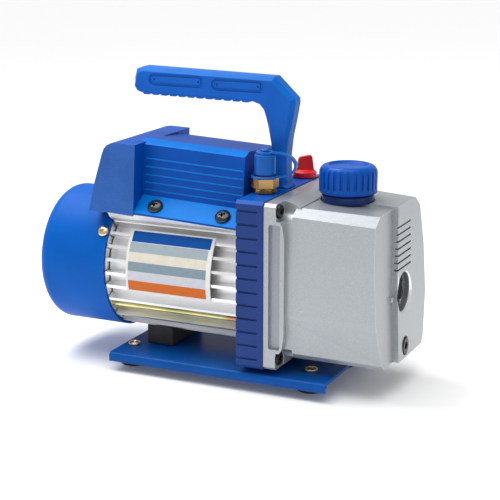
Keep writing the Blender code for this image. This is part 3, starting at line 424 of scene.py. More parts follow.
def metal(name, colour, roughness, along=(1.0, 1.0, 1.0), scale=300.0, swing=0.12, tooth=0.15):
    """Bare or plated metal, its fine marks stretched along a direction."""
    s = Shader(name, roughness, 1.0)
    place = s.stretched(*along)
    marks = s.noise(scale, 4.0, 0.6, place)
    s.colour(s.ramp(marks, [(0.25, shade(colour, 1 - swing)), (0.75, shade(colour, 1 + swing))]))
    s.rough(s.noise(scale * 0.6, 3.0, 0.5, place), roughness - 0.07, roughness + 0.10)
    s.bump(marks, tooth, 0.03)
    return s


def zinc(name):
    """Yellow passivated zinc: gold with drifting green and pink."""
    s = Shader(name, 0.26, 1.0)
    drift = s.noise(70.0, 3.0, 0.5, s.stretched(0.5, 1.0, 1.0))
    s.colour(s.ramp(drift, ZINC_TINTS))
    s.rough(s.noise(500.0, 3.0), 0.20, 0.36)
    s.bump(s.noise(800.0, 2.0), 0.10, 0.02)
    return s


def rod_zinc(name):
    """Yellow zinc that turns to bare coppery steel near the bracket end."""
    s = Shader(name, 0.26, 1.0)
    along = s.add("SeparateXYZ", {"Vector": s.place}).outputs["X"]
    start, end = ROD_FADE
    far = s.add("MapRange", {"Value": along, "From Min": start, "From Max": end}).outputs["Result"]
    drift = s.noise(70.0, 3.0, 0.5, s.stretched(0.4, 1.0, 1.0))
    plated = s.ramp(drift, ROD_TINTS)
    bare = s.ramp(drift, BARE_TINTS)
    mixed = s.add("Mix", {0: far}, data_type="RGBA")
    s.tree.links.new(plated, mixed.inputs[6])
    s.tree.links.new(bare, mixed.inputs[7])
    s.colour(mixed.outputs[2])
    s.rough(s.noise(500.0, 3.0), 0.22, 0.40)
    s.bump(s.noise(800.0, 2.0), 0.10, 0.02)
    return s


def rubber(name, colour):
    """Matt rubber with a fine tooth."""
    s = Shader(name, 0.72)
    s.colour(s.ramp(s.noise(90.0, 4.0), [(0.3, shade(colour, 0.7)), (0.7, shade(colour, 1.5))]))
    s.rough(s.noise(300.0, 2.0), 0.60, 0.82)
    s.bump(s.noise(900.0, 2.0), 0.35, 0.06)
    return s


def film(name, colour):
    """Printed label film: even ink with a faint weave of the laminate."""
    s = Shader(name, 0.42, Specular_IOR_Level=0.15)
    s.colour(s.ramp(s.noise(260.0, 3.0), [(0.3, shade(colour, 0.95)), (0.7, shade(colour, 1.04))]))
    s.rough(s.noise(700.0, 2.0), 0.30, 0.42)
    s.bump(s.noise(500.0, 2.0), 0.08, 0.02)
    return s


LABEL_INKS = {
    "label_white": (0.74, 0.74, 0.73),
    "label_navy": (0.001, 0.075, 0.33),
    "label_mist": (0.34, 0.40, 0.44),
    "label_slate": (0.22, 0.29, 0.34),
    "label_cream": (0.68, 0.64, 0.55),
    "label_grey": (0.56, 0.57, 0.62),
    "label_orange": (0.58, 0.135, 0.020),
}


def make_materials():
    plastic("box_plastic", (0.001, 0.072, 0.39), 0.36, grain=0.05, gloss=0.10)
    plastic("box_grain", (0.026, 0.115, 0.42), 0.50, grain=0.60, grain_scale=1100.0)
    # Lighter copies of the box plastic for its up-facing flange, top facets, front chamfers and
    # ribs: painted light.
    plastic("flange_lit_plastic", (0.001, 0.185, 0.64), 0.36, gloss=0.07)
    plastic("box_highlight_plastic", (0.001, 0.155, 0.57), 0.36, gloss=0.10)
    plastic("handle_plastic", (0.008, 0.118, 0.53), 0.36, grain=0.08, gloss=0.10)
    # A lighter copy of the handle plastic for its up-facing faces: painted light.
    plastic("handle_lit_plastic", (0.001, 0.130, 0.52), 0.34, gloss=0.08)
    plastic("cap_plastic", (0.001, 0.076, 0.42), 0.30, gloss=0.16)
    plastic("collar_plastic", (0.003, 0.025, 0.16), 0.20, coat=0.2)
    plastic("dust_cap_plastic", (0.001, 0.110, 0.46), 0.34, gloss=0.25)
    plastic("red_plastic", (0.66, 0.012, 0.018), 0.28, gloss=0.4)
    plastic("black_plastic", (0.020, 0.020, 0.022), 0.45, grain=0.3, gloss=0.4)
    plastic("black_gloss", (0.012, 0.012, 0.013), 0.22, coat=0.4, gloss=0.5)
    paint("cover_paint", (0.001, 0.098, 0.45), 0.40, 0.10, 0.0, 0.09)
    # The bracket's edges take a bright blue painted highlight.
    paint("bracket_paint", (0.012, 0.042, 0.20), 0.38, 0.35, 0.06, 0.15, edge=(0.004, 0.17, 0.70))
    # A lighter copy of the bracket paint for its deck: painted light.
    paint("deck_lit_paint", (0.001, 0.080, 0.40), 0.34, 0.30, 0.04, 0.12)
    paint("base_paint", (0.001, 0.072, 0.32), 0.32, 0.25, 0.04, 0.12)
    sparkle_paint("silver_paint", (0.40, 0.425, 0.445))
    # A darker copy of the silver paint for the flange pocket's floor: painted shade.
    sparkle_paint("pocket_shade_paint", (0.31, 0.325, 0.365))
    metal("cast_aluminium", (0.93, 0.93, 0.93), 0.42, (0.06, 1.0, 1.0), 240.0, 0.08)
    metal("bright_steel", (0.60, 0.61, 0.62), 0.24, (1.0, 1.0, 1.0), 400.0)
    metal("brass", (0.50, 0.30, 0.115), 0.26, (1.0, 1.0, 3.0), 260.0)
    metal("copper", (0.66, 0.27, 0.13), 0.34, (4.0, 1.0, 1.0), 200.0, 0.3, 0.6)
    metal("black_steel", (0.045, 0.045, 0.05), 0.36, (1.0, 1.0, 1.0), 500.0, 0.3)
    zinc("zinc_steel")
    rod_zinc("rod_zinc")
    rubber("rubber", (0.016, 0.016, 0.018))
    for name, colour in LABEL_INKS.items():
        film(name, colour)
    lens = Shader("glass", 0.04, 0.0, Transmission_Weight=1.0, IOR=1.49)
    tints = [(0.3, (0.42, 0.48, 0.48)), (0.7, (0.50, 0.56, 0.55))]
    lens.colour(lens.ramp(lens.noise(40.0), tints))
    lens.bump(lens.noise(90.0), 0.03, 0.05)
    # Dark grey for the sleeve over the sight bore's wall: painted shade.
    liner = Shader("liner_shade_paint", 0.5, 0.2)
    tints = [(0.3, (0.085, 0.095, 0.10)), (0.7, (0.13, 0.14, 0.15))]
    liner.colour(liner.ramp(liner.noise(60.0, 3.0), tints))
    liner.bump(liner.noise(700.0), 0.2, 0.05)
    # Near black for the cup behind the sight glass: painted shade.
    well = Shader("well_shade_paint", 0.34, 0.3)
    tints = [(0.3, (0.020, 0.026, 0.030)), (0.7, (0.045, 0.055, 0.060))]
    well.colour(well.ramp(well.noise(60.0, 3.0), tints))
    well.rough(well.noise(500.0), 0.26, 0.42)


# ------------------------------------------------------------------ pieces refined from CAD nodes


def assign_faces(obj, rules):
    """Give faces another material where a rule on their centre (in mm) and normal holds."""
    for material, rule in rules:
        obj.data.materials.append(MATERIALS[material])
        index = len(obj.data.materials) - 1
        for polygon in obj.data.polygons:
            if rule(polygon.center / MM, polygon.normal):
                polygon.material_index = index


def refined(node, width, material, slot, body="chassis", segments=2):
    """A new piece on a node's own shape: flat faces merged, edges rounded, curved faces smooth."""
    bm = bmesh.new()
    source = bpy.data.objects[node]
    bm.from_mesh(source.data)
    bmesh.ops.transform(bm, matrix=source.matrix_world, verts=bm.verts)
    bmesh.ops.remove_doubles(bm, verts=bm.verts, dist=0.002 * MM)
    bmesh.ops.dissolve_limit(bm, angle_limit=math.radians(0.6), verts=bm.verts, edges=bm.edges)
    bmesh.ops.scale(bm, vec=(1 / MM, 1 / MM, 1 / MM), verts=bm.verts)
    obj = link(node + "_shell", bm)
    if width:
        soften(obj, width, segments)
    return dress(obj, material, slot, body, node)


CAMERA_ANGLES = (24.55, 14.26, 0.09)  # azimuth from -Y towards +X, elevation and roll, in degrees
CAMERA_TARGET = (0.01449, 0.0, 0.0866)
CAMERA_LENS = 100.7
FLOOR_HALF = 4000.0
FLOOR_DROP = 0.05  # how far the floor lies below the feet


def make_camera():
    """The camera, one metre from its target."""
    azimuth, elevation, roll = (math.radians(v) for v in CAMERA_ANGLES)
    target = Vector(CAMERA_TARGET)
    back = Vector((
        math.sin(azimuth) * math.cos(elevation),
        -math.cos(azimuth) * math.cos(elevation),
        math.sin(elevation),
    ))
    data = bpy.data.cameras.new("camera")
    data.lens = CAMERA_LENS
    data.sensor_width = 36.0
    camera = bpy.data.objects.new("camera", data)
    camera.matrix_world = (
        Matrix.Translation(target + back)
        @ back.to_track_quat("Z", "Y").to_matrix().to_4x4()
        @ Matrix.Rotation(roll, 4, "Z")
    )
    bpy.context.scene.collection.objects.link(camera)
    bpy.context.scene.camera = camera


def make_floor():
    """A large matt white floor that glows faintly, so that it stays white under the light."""
    bm = bmesh.new()
    bmesh.ops.create_grid(bm, x_segments=2, y_segments=2, size=FLOOR_HALF)
    floor = link("floor", bm, Matrix.Translation((0, 0, -FLOOR_DROP)))
    s = Shader("floor_paint", 0.65)
    s.colour(s.ramp(s.noise(3.0, 2.0), [(0.3, (0.95, 0.95, 0.95)), (0.7, (0.96, 0.96, 0.96))]))
    s.bump(s.noise(90.0, 2.0), 0.03, 0.05)
    s.shader.inputs["Emission Color"].default_value = (1.0, 1.0, 1.0, 1.0)
    s.shader.inputs["Emission Strength"].default_value = 0.06
    floor.data.materials.append(s.material)


def make_lights():
    """A white room, a wide soft light from above and a softbox behind on the left."""
    world = bpy.data.worlds.new("studio")
    bpy.context.scene.world = world
    world.use_nodes = True
    background = world.node_tree.nodes["Background"]
    background.inputs["Color"].default_value = (1.0, 1.0, 1.0, 1.0)
    background.inputs["Strength"].default_value = 0.50
    sun = bpy.data.lights.new("ceiling", "SUN")
    sun.energy = 1.6
    sun.angle = math.radians(50)
    ceiling = bpy.data.objects.new("ceiling", sun)
    ceiling.rotation_euler = Vector((0.05, -0.25, 1.0)).to_track_quat("Z", "Y").to_euler()
    bpy.context.scene.collection.objects.link(ceiling)
    area = bpy.data.lights.new("softbox", "AREA")
    area.shape = "RECTANGLE"
    area.size, area.size_y = 0.85, 0.5
    area.energy = 9.0
    softbox = bpy.data.objects.new("softbox", area)
    place, middle = Vector((-0.46, 0.06, 1.0)), Vector((0.0, 0.0, 0.08))
    turn = (place - middle).to_track_quat("Z", "Y").to_matrix().to_4x4()
    softbox.matrix_world = Matrix.Translation(place) @ turn
    bpy.context.scene.collection.objects.link(softbox)
    bpy.context.scene.view_settings.view_transform = "Standard"


def paint_node(node, material):
    """Give a CAD node that shows as it is its material."""
    obj = bpy.data.objects[node]
    obj.data.materials.clear()
    obj.data.materials.append(MATERIALS[material])


INNER = {
    "stator_core": "bright_steel",
    "winding_rear": "copper",
    "winding_front": "copper",
    "motor_shaft": "bright_steel",
    "rotor_core": "bright_steel",
    "cooling_fan": "black_plastic",
    "rear_end_shield": "cast_aluminium",
    "rear_bearing": "bright_steel",
    "capacitor": "black_plastic",
    "front_bearing": "bright_steel",
    "shaft_seal": "rubber",
    "pump_cylinder": "bright_steel",
    "pump_rotor": "bright_steel",
    "vane_near": "black_plastic",
    "vane_far": "black_plastic",
    "end_plate": "bright_steel",
    "discharge_valve": "bright_steel",
}
# CAD node: width of its rounded edges in millimetres, material, slot, body
REFINED = {
    "base_plate": (0.5, "base_paint", "blue_paint", "chassis"),
    "motor_support": (1.0, "rubber", "rubber", "chassis"),
    "stator_housing": (0.25, "cast_aluminium", "cast_aluminium", "chassis"),
    "switch_bezel": (0.4, "black_plastic", "black_plastic", "chassis"),
    "power_rocker": (0.5, "black_plastic", "black_plastic", "power_rocker"),
    "power_inlet": (0.4, "black_plastic", "black_plastic", "chassis"),
    "filler_neck": (0.4, "collar_plastic", "blue_plastic", "chassis"),
    "cap_seal": (0.2, "rubber", "rubber", "cap_lift"),
    "sight_glass": (0.2, "glass", "glass", "chassis"),
    "drain_plug": (0.4, "black_steel", "black_steel", "drain_plug"),
    "inlet_fitting": (0.25, "brass", "brass", "chassis"),
    "inlet_cap": (0.7, "dust_cap_plastic", "blue_plastic", "inlet_cap"),
}


# ------------------------------------------------------------------ motor: cover, label, screws


def polar(radius, angle):
    """A place on the near side of the motor, at a radius and an angle above the horizontal."""
    a = math.radians(angle)
    return -radius * math.cos(a), AXIS_Z + radius * math.sin(a)


COVER_WALL = 1.8
COVER_EDGE = 9.0  # radius of the drawn edge
VENTS = 12
VENT_HALF_WIDTH = 1.7
VENT_REACH = (14, 36)  # distances of a vent's ends from the motor's axis


def make_fan_cover():
    """A deep-drawn cowl with a ring of vents in its end."""
    r, wall, edge = COVER_R, COVER_WALL, COVER_EDGE
    x0, x1 = COVER_LOW.x, COVER_HIGH.x
    outer = [(r, x1)] + arc(r - edge, x0 + edge, edge, 0, -90, 10) + [(0, x0)]
    inner = [(0, x0 + wall)] + arc(r - edge, x0 + edge, edge - wall, -90, 0, 8) + [(r - wall, x1)]
    cover = turned("fan_cowl", outer + inner, (0, 0, AXIS_Z), "x", 144, closed=True)
    low, high = (AXIS_Z + reach for reach in VENT_REACH)
    outline = rounded(-VENT_HALF_WIDTH, VENT_HALF_WIDTH, low, high, 1.65)
    slots = []
    for index in range(VENTS):
        turn = (
            Matrix.Translation((0, 0, AXIS_Z))
            @ Matrix.Rotation(2 * math.pi * index / VENTS, 4, "X")
            @ Matrix.Translation((0, 0, -AXIS_Z))
        )
        slots.append(extruded(f"vent_{index}", outline, x0 - 3, x0 + 6, "yz", turn))
    combine(cover, slots)
    soften(cover, 0.35, 2)
    dress(cover, "cover_paint", "blue_paint", "chassis", "fan_cover")


STRIP_STEP = 2.5  # degrees between the corners of a curved strip
LABEL_THICK = 0.8
LABEL_PLATE = (-13.6, 38.4, -59.4, 7.0)  # low and high angle, rear and front x
INK_LIFT = 0.78
INK_THICK = 0.08
LABEL_BANDS = (  # ink, high and low angle, rear and front x
    ("label_navy", 37.0, 27.8, -57.0, 4.6),
    ("label_mist", 27.3, 19.2, -57.6, 3.6),
    ("label_cream", 19.2, 11.4, -57.6, 3.6),
    ("label_slate", 11.4, 3.8, -57.6, 3.6),
    ("label_grey", 3.8, -4.0, -57.6, 3.6),
    ("label_orange", -4.0, -12.4, -57.6, 3.6),
)


def arc_strip(name, radius, depth, low, high, x0, x1, material, *replaced):
    """A strip of film that follows the motor's round side between two angles."""
    steps = max(4, int((high - low) / STRIP_STEP))
    angles = [low + (high - low) * i / steps for i in range(steps + 1)]
    outline = [polar(radius + depth, a) for a in angles]
    outline += [polar(radius, a) for a in reversed(angles)]
    strip = extruded(name, outline, x0, x1, "yz")
    return dress(strip, material, "label_film", "chassis", *replaced)


def make_label():
    """A curved plate over the fins, printed with plain bands of colour."""
    radius = FIN_R + GAP
    arc_strip("rating_label", radius, LABEL_THICK, *LABEL_PLATE, "label_white", "label_plate")
    for index, (ink, high, low, x0, x1) in enumerate(LABEL_BANDS):
        arc_strip(f"label_band_{index}", radius + INK_LIFT, INK_THICK, low, high, x0, x1, ink)


def head_top(node, axis):
    """The middle of a screw's end face along its axis, in millimetres."""
    points = [v.co / MM for v in bpy.data.objects[node].data.vertices]
    most = max(p.dot(axis) for p in points)
    ring = [p for p in points if most - p.dot(axis) < 0.06]
    return sum(ring, Vector()) / len(ring)


def rectangle(u, v, z):
    """A level rectangle round the origin, from its half widths."""
    return [(-u, -v, z), (u, -v, z), (u, v, z), (-u, v, z)]


DOME_RISE = 0.72  # share of a screw head's height that is domed
RECESS_DEPTH = 0.7  # depth of the cross recess, as a share of the height
RECESS_HALF = (0.60, 0.17)  # half length and width of a blade at the top, as shares of the radius
RECESS_TURN = 12  # degrees


def pan_head(node, axis, radius, height, material, slot, shank=4.0):
    """A domed head with a cross recess, standing where the node's head stands."""
    axis = Vector(axis).normalized()
    upright = axis.to_track_quat("Z", "Y").to_matrix().to_4x4()
    place = Matrix.Translation(head_top(node, axis)) @ upright
    dome = []
    for angle in range(0, 90, 10):
        a = math.radians(angle)
        dome.append((radius * math.cos(a), -height * DOME_RISE * (1 - math.sin(a))))
    foot, neck = -height - shank, radius * 0.4
    profile = [(0, foot), (neck, foot), (neck, -height), (radius, -height)] + dome + [(0, 0)]
    head = turned(node + "_head", profile, (0, 0, 0), "z", 48, turn=place)
    blades = []
    u, v = (radius * share for share in RECESS_HALF)
    for angle in (0, 90):
        spin = place @ Matrix.Rotation(math.radians(angle + RECESS_TURN), 4, "Z")
        ends = [rectangle(v, v * 0.8, -height * RECESS_DEPTH), rectangle(u, v, 1.0)]
        blades.append(lofted(f"blade_{angle}", ends, spin))
    combine(head, blades)
    soften(head, 0.12, 2)
    dress(head, material, slot, "chassis", node)


COVER_SCREW_ANGLE = 33.1
# Radius and height of the head, material, slot
COVER_SCREW = (3.9, 2.3, "zinc_steel", "zinc_steel")
BOX_SCREW = (5.6, 3.4, "black_gloss", "black_steel")
FOOT_SCREW = (4.5, 2.2, "zinc_steel", "zinc_steel")
FOOT_SHANK = 2.0


def make_screws():
    """The heads of the cover's, the box's and the feet's screws."""
    angle = math.radians(COVER_SCREW_ANGLE)
    tilt = math.sin(BOX_TILT)
    for name, sign in SIDES:
        pan_head("cover_screw_" + name, (0, sign * math.cos(angle), math.sin(angle)), *COVER_SCREW)
        for end in ("rear", "front"):
            pan_head(f"box_screw_{name}_{end}", (tilt * 0.8, sign * 0.6, 0.8), *BOX_SCREW)
    for corner in FOOT_CORNERS:
        pan_head("foot_screw_" + corner, (0, 0, 1), *FOOT_SCREW, FOOT_SHANK)


# ------------------------------------------------------------------ oil cap

CAP_FLUTES = 26
CAP_FLUTE_POINTS = 12
CAP_FLUTE_DEPTH = 1.5
CAP_BORE = 13.5
CAP_SKIRT_Z = 135.9
CAP_DISH = (2.0, 1.5)  # radius at the middle of the dished top, and its depth
# Height above the skirt's lower edge, how far inside the cap's radius, share of the flutes' depth
CAP_SKIRT = (
    (0.0, 0.6, 0), (0.6, 0.0, 0), (2.2, 0.0, 0),
    (2.9, 0.0, 0.35), (3.5, 0.0, 0.75), (4.5, 0.0, 1.0),
)
# The same, with the height measured down from the cap's top
CAP_CROWN = (
    (5.6, 0.0, 1.0), (4.4, 0.15, 0.8), (3.3, 0.5, 0.35), (2.0, 1.2, 0), (0.8, 2.4, 0),
    (0.15, 4.0, 0), (0.0, 5.2, 0), (0.1, 6.2, 0), (1.3, 6.9, 0), (1.5, 7.6, 0),
)


def make_oil_cap():
    """A moulded cap: grip flutes with round lower ends, a plain skirt and a dished top."""
    radius, top = (CAP_HIGH.x - CAP_LOW.x) / 2, CAP_HIGH.z
    rows = [(CAP_SKIRT_Z, CAP_BORE, 0)]
    rows += [(CAP_SKIRT_Z + up, radius - cut, share) for up, cut, share in CAP_SKIRT]
    rows += [(top - down, radius - cut, share) for down, cut, share in CAP_CROWN]
    rows.append((top - CAP_DISH[1], CAP_DISH[0], 0))
    count = CAP_FLUTES * CAP_FLUTE_POINTS
    rings = []
    for z, r, share in rows:
        ring = []
        for i in range(count):
            phase = (i % CAP_FLUTE_POINTS) / CAP_FLUTE_POINTS
            dip = min(1.0, max(0.0, math.cos(2 * math.pi * phase) - 0.05) / 0.5)
            a = 2 * math.pi * i / count
            reach = r - CAP_FLUTE_DEPTH * share * dip
            ring.append((CAP_X + reach * math.cos(a), reach * math.sin(a), z))
        rings.append(ring)
    cap = lofted("fluted_cap", rings, sharp=48)
    dress(cap, "cap_plastic", "blue_plastic", "oil_cap", "oil_cap")


# ------------------------------------------------------------------ terminal box

RIB_ENDS = (-53.2, 22.4)
RIB_HEIGHTS = (153.9, 148.1, 142.3, 136.8, 131.4, 126.2)
RIB_SECTION = ((31.6, -0.9), (32.15, -0.75), (32.55, 0.0), (32.3, 0.35), (31.6, 0.5))


def box_frame():
    """The box's small nose-down tilt about its pivot."""
    tilt = Matrix.Rotation(BOX_TILT, 4, "Y")
    return Matrix.Translation(BOX_PIVOT) @ tilt @ Matrix.Translation(-BOX_PIVOT)


def make_terminal_box():
    """The box: a grained near side, lighter copies of its plastic on faces that face up and forward
    as painted light, and six fine ribs a side.
    """
    box = refined("terminal_box", 0.9, "box_plastic", "blue_plastic", segments=3)

    def on_top_facet(c, n):
        return 0.3 < n.z < 0.95 and abs(n.y) > 0.2 and c.z > 150.0 and c.x > -53.0

    # The flange, top facets and front chamfers take lighter copies of the plastic: painted light.
    assign_faces(box, [
        ("box_grain", lambda c, n: n.y < -0.9 and c.y < -44.0),
        ("flange_lit_plastic", lambda c, n: n.z > 0.5 and abs(n.y) > 0.3 and c.z < 129.0),
        ("box_highlight_plastic", on_top_facet),
        ("box_highlight_plastic", lambda c, n: n.x > 0.3 and abs(n.y) > 0.3 and c.x > 15.0 and c.z > 130.0),
    ])
    for name, sign in SIDES:
        for index, z in enumerate(RIB_HEIGHTS):
            outline = [(sign * y, z + rise) for y, rise in RIB_SECTION]
            rib = extruded(f"box_rib_{name}_{index}", outline, *RIB_ENDS, "yz", box_frame())
            soften(rib, 0.12, 2)
            # The ribs take a lighter copy of the plastic: painted highlight.
            dress(rib, "box_highlight_plastic", "blue_plastic", "chassis")


# ------------------------------------------------------------------ handle

GRIP_RECESSES = ((-61.6, -17.6, 205.6), (-12.2, 28.2, 204.8))  # rear and front x, height
RECESS_R = 4.4
SCALLOPS = 12
SCALLOP_X = -63.5
SCALLOP_PITCH = 7.05
SCALLOP_HALF = 3.1
SCALLOP_Z = 194.6
SCALLOP_RISE = 3.4
SCALLOP_FALL = 1.2  # how much lower the last scallop is than the first
EDGE_STEPS = (0.0, 1.0, 2.2, 3.2)  # distances in from the side at which the bevel has a ring


def handle_outline():
    """Side view and edge bevels of the handle: a waisted post on a foot, the knuckle, the grip."""
    z = box_mm("handle")[0].z
    post = [(33.6, z), (46.6, z), (46.4, z + 1.0), (45.0, z + 2.6)]
    post += [(44.6, 146.0), (44.4, 157.7), (45.8, 170.3)]
    knuckle = [(48.8, 184.0), (50.7, 194.8), (50.4, 197.8), (35.1, 212.3)]
    top = [(-67.0, 214.3), (-72.4, 212.2), (-74.0, 206.5)]
    under = [(-73.6, 200.2), (-71.6, 197.0), (-68.0, 195.8)]
    under += [(19.0, 194.6), (24.4, 192.9), (27.7, 189.4)]
    inner = [(31.0, 176.0), (33.9, 161.0), (34.8, 150.0), (35.0, z + 2.6), (33.8, z + 1.0)]
    bevels = [0.3, 0.3, 1.0] + [2.4] * 4 + [3.0] * 4 + [3.2, 3.2, 2.6]
    bevels += [0.9] * 6 + [2.2] * 3 + [1.8, 1.0]
    return post + knuckle + top + under + inner, bevels


def inset(outline, depths):
    """Move each corner of a closed outline inwards by its own depth."""
    moved = []
    count = len(outline)
    for i, (u, v) in enumerate(outline):
        before = Vector(outline[i - 1]) - Vector((u, v))
        after = Vector(outline[(i + 1) % count]) - Vector((u, v))
        first = Vector((before.y, -before.x)).normalized()
        second = Vector((-after.y, after.x)).normalized()
        normal = (first + second).normalized()
        moved.append(Vector((u, v)) + normal * (depths[i] / max(0.5, normal.dot(first))))
    return moved


def make_handle():
    """A moulded handle with broad bevels, finger scallops and two framed recesses on each side."""
    low, high = box_mm("handle")
    half = (high.y - low.y) / 2
    outline, bevels = handle_outline()
    rings = []
    for out in EDGE_STEPS:
        depths = [max(0.0, bevel - out) for bevel in bevels]
        rings.append((half - out, inset(outline, depths)))
    rows = [[(u, -y, v) for u, v in ring] for y, ring in rings]
    rows += [[(u, y, v) for u, v in ring] for y, ring in rings[::-1]]
    handle = lofted("carry_handle", rows, sharp=28)
    ridges = []
    for index in range(SCALLOPS):
        x, z = SCALLOP_X + SCALLOP_PITCH * index, SCALLOP_Z - SCALLOP_FALL * index / SCALLOPS
        outline = rounded(x - SCALLOP_HALF, x + SCALLOP_HALF, z, z + SCALLOP_RISE, 1.5)
        ridges.append(extruded(f"scallop_{index}", outline, 0.4 - half, half - 0.4, "xz"))
    combine(handle, ridges, "UNION")
    pockets = []
    for index, (u0, u1, v) in enumerate(GRIP_RECESSES):
        outline = stadium(u0 + RECESS_R, u1 - RECESS_R, v, RECESS_R)
        for sign in (-1, 1):
            depth = span(sign, half - 1.1, half + 3.0)
            pockets.append(extruded(f"pocket_{index}_{sign + 1}", outline, *depth, "xz"))
    combine(handle, pockets)
    soften(handle, 0.3, 2, 33)
    dress(handle, "handle_plastic", "blue_plastic", "chassis", "handle")
    # Up-facing faces and the knuckle's front chamfers take a lighter copy of the plastic: painted
    # light.
    assign_faces(handle, [
        ("handle_lit_plastic", lambda c, n: n.z > 0.2 and c.z > 196.0),
        ("handle_lit_plastic", lambda c, n: n.x > 0.3 and abs(n.y) > 0.3 and c.x > 40.0 and c.z > 172.0),
    ])
    for index, (u0, u1, v) in enumerate(GRIP_RECESSES):
        outline = rounded(u0 + 3.0, u1 - 3.0, v - 2.3, v + 2.3, 1.2)
        for name, sign in SIDES:
            depth = span(sign, half - 2.2, half - 0.1)
            bar = extruded(f"grip_bar_{index}_{name}", outline, *depth, "xz")
            ends = (u0 + 4.6, u1 - 4.6)
            combine(bar, [rod("dot", 0.75, (u, sign * half - 1.5, v), 3.0, "y", 16) for u in ends])
            soften(bar, 0.4, 2, 40)
            dress(bar, "handle_plastic", "blue_plastic", "chassis")


# ------------------------------------------------------------------ bracket, casing, sight glass


def make_bracket():
    """The bracket, its deck a lighter copy of its paint as painted light on the top faces."""
    bracket = refined("pump_bracket", 0.5, "bracket_paint", "blue_paint")
    assign_faces(bracket, [("deck_lit_paint", lambda c, n: n.z > 0.6 and c.z > 128.0)])


def level(obj, rule):
    """Shade as one plane the faces that a rule on their centre (in mm) and normal picks."""
    mesh = obj.data
    normals = [Vector(corner.vector) for corner in mesh.corner_normals]
    faces = [p for p in mesh.polygons if rule(p.center / MM, p.normal)]
    mean = sum((p.normal * p.area for p in faces), Vector()).normalized()
    for polygon in faces:
        for index in polygon.loop_indices:
            normals[index] = mean
    mesh.normals_split_custom_set(normals)


RAIL_Y = (44.0, 53.8)
RAIL_OUTLINE = (
    (54.0, 31.0), (60.4, 31.0), (62.4, 34.0), (63.8, 44.0),
    (63.8, 110.0), (62.4, 119.5), (60.4, 122.5), (54.0, 122.5),
)
POCKET_Y = (51.0, 60.0)
POCKET_SIDE = (52.4, 61.0, 33.4, 120.4, 1.6)  # rear and front x, low and high z, corner radius
SHOULDER_HALF = 39.6
SHOULDER_SLOPE = ((57.0, 134.3), (60.0, 134.0), (70.0, 130.9), (70.0, 128.5), (57.0, 128.5))
SEAT_X = (57.6, 66.8)
SEAT_FLOOR = 6.5
SEAT_REACH = 9.2
SEAT_OPEN = 16.0  # how far past the casing's corner a seat's cutter goes
SEATS = ((-48.0, 26.2), (-48.0, 128.7), (48.0, 26.2), (48.0, 128.7))
MOUTH = ((0, 128.0), (13.95, 128.9), (16.2, 131.4), (16.2, 134.0), (0, 134.0))
NUB = ((122.5, 128.4), (-19.4, -16.0), (66.2, 69.8))


def bolt_seat(name, y, z, out, up):
    """A cutter for the seat round a casing bolt: a round floor carried outwards past the corner."""
    inner = [(u * SEAT_REACH / SEAT_FLOOR, v) for u, v in arc(0, 0, SEAT_FLOOR, -80, 0, 10)]
    corner = [(SEAT_REACH, SEAT_OPEN), (-SEAT_OPEN, SEAT_OPEN), (-SEAT_OPEN, 0.0)]
    outline = arc(0, 0, SEAT_FLOOR, -180, -90, 10) + inner + corner
    return extruded(name, [(y + out * u, z + up * v) for u, v in outline], *SEAT_X, "yz")


def make_oil_casing():
    """The sand-cast casing: rails with a long pocket a side, open bolt seats, a cast nub."""
    casing = refined("oil_casing", 0, "silver_paint", "silver_paint")
    joined, cuts = [], []
    for side in (-1, 1):
        joined.append(extruded(f"rail_{side + 1}", RAIL_OUTLINE, *span(side, *RAIL_Y), "xz"))
        pocket = rounded(*POCKET_SIDE)
        cuts.append(extruded(f"flange_pocket_{side + 1}", pocket, *span(side, *POCKET_Y), "xz"))
    joined.append(extruded("casing_shoulder", SHOULDER_SLOPE, -SHOULDER_HALF, SHOULDER_HALF, "xz"))
    combine(casing, joined, "UNION")
    for index, (y, z) in enumerate(SEATS):
        cuts.append(bolt_seat(f"seat_{index}", y, z, 1 if y < 0 else -1, 1 if z > 80 else -1))
    cuts.append(turned("sight_mouth", MOUTH, (0, SIGHT.y, SIGHT.z), "x", 64))
    combine(casing, cuts)
    casing.data.set_sharp_from_angle(angle=math.radians(24))

    def in_pocket(c, n):
        return abs(n.y) > 0.95 and 50.8 < abs(c.y) < 51.2 and 52.0 < c.x < 62.0

    def in_mouth(c, n):
        off = math.hypot(c.y - SIGHT.y, c.z - SIGHT.z)
        return c.x > 128.5 and n.x > 0.3 and 13.8 < off < 16.4

    # The pocket floor takes a darker copy of the silver paint: painted shade in the recess.
    assign_faces(casing, [("pocket_shade_paint", in_pocket), ("cast_aluminium", in_mouth)])
    soften(casing, 0.45, 3, 30)
    settle(casing)
    for side in (-1, 1):
        level(casing, lambda c, n: n.y * side > 0.965 and 59.0 < c.z < 125.0 and c.x > 60.0)
    nub = block("casing_nub", *NUB)
    soften(nub, 0.5, 2)
    dress(nub, "silver_paint", "silver_paint", "chassis")


GASKET_X = (48.55, 49.05)
GASKET_TOP = 134.2
GASKET_HOLE = (47, 51)


def make_gasket():
    """The thin black gasket between the bracket and the casing."""
    y, z0, z1 = BRACKET_HALF_Y - 0.9, box_mm("oil_casing")[0].z + 0.2, GASKET_TOP
    gasket = extruded("casing_gasket", rounded(-y, y, z0, z1, 2.0), *GASKET_X, "yz")
    hole = extruded("gasket_hole", rounded(-44, 44, z0 + 8, z1 - 8, 6.0), *GASKET_HOLE, "yz")
    combine(gasket, [hole])
    dress(gasket, "black_plastic", "rubber", "chassis")


LINER_RIM_X = 128.6


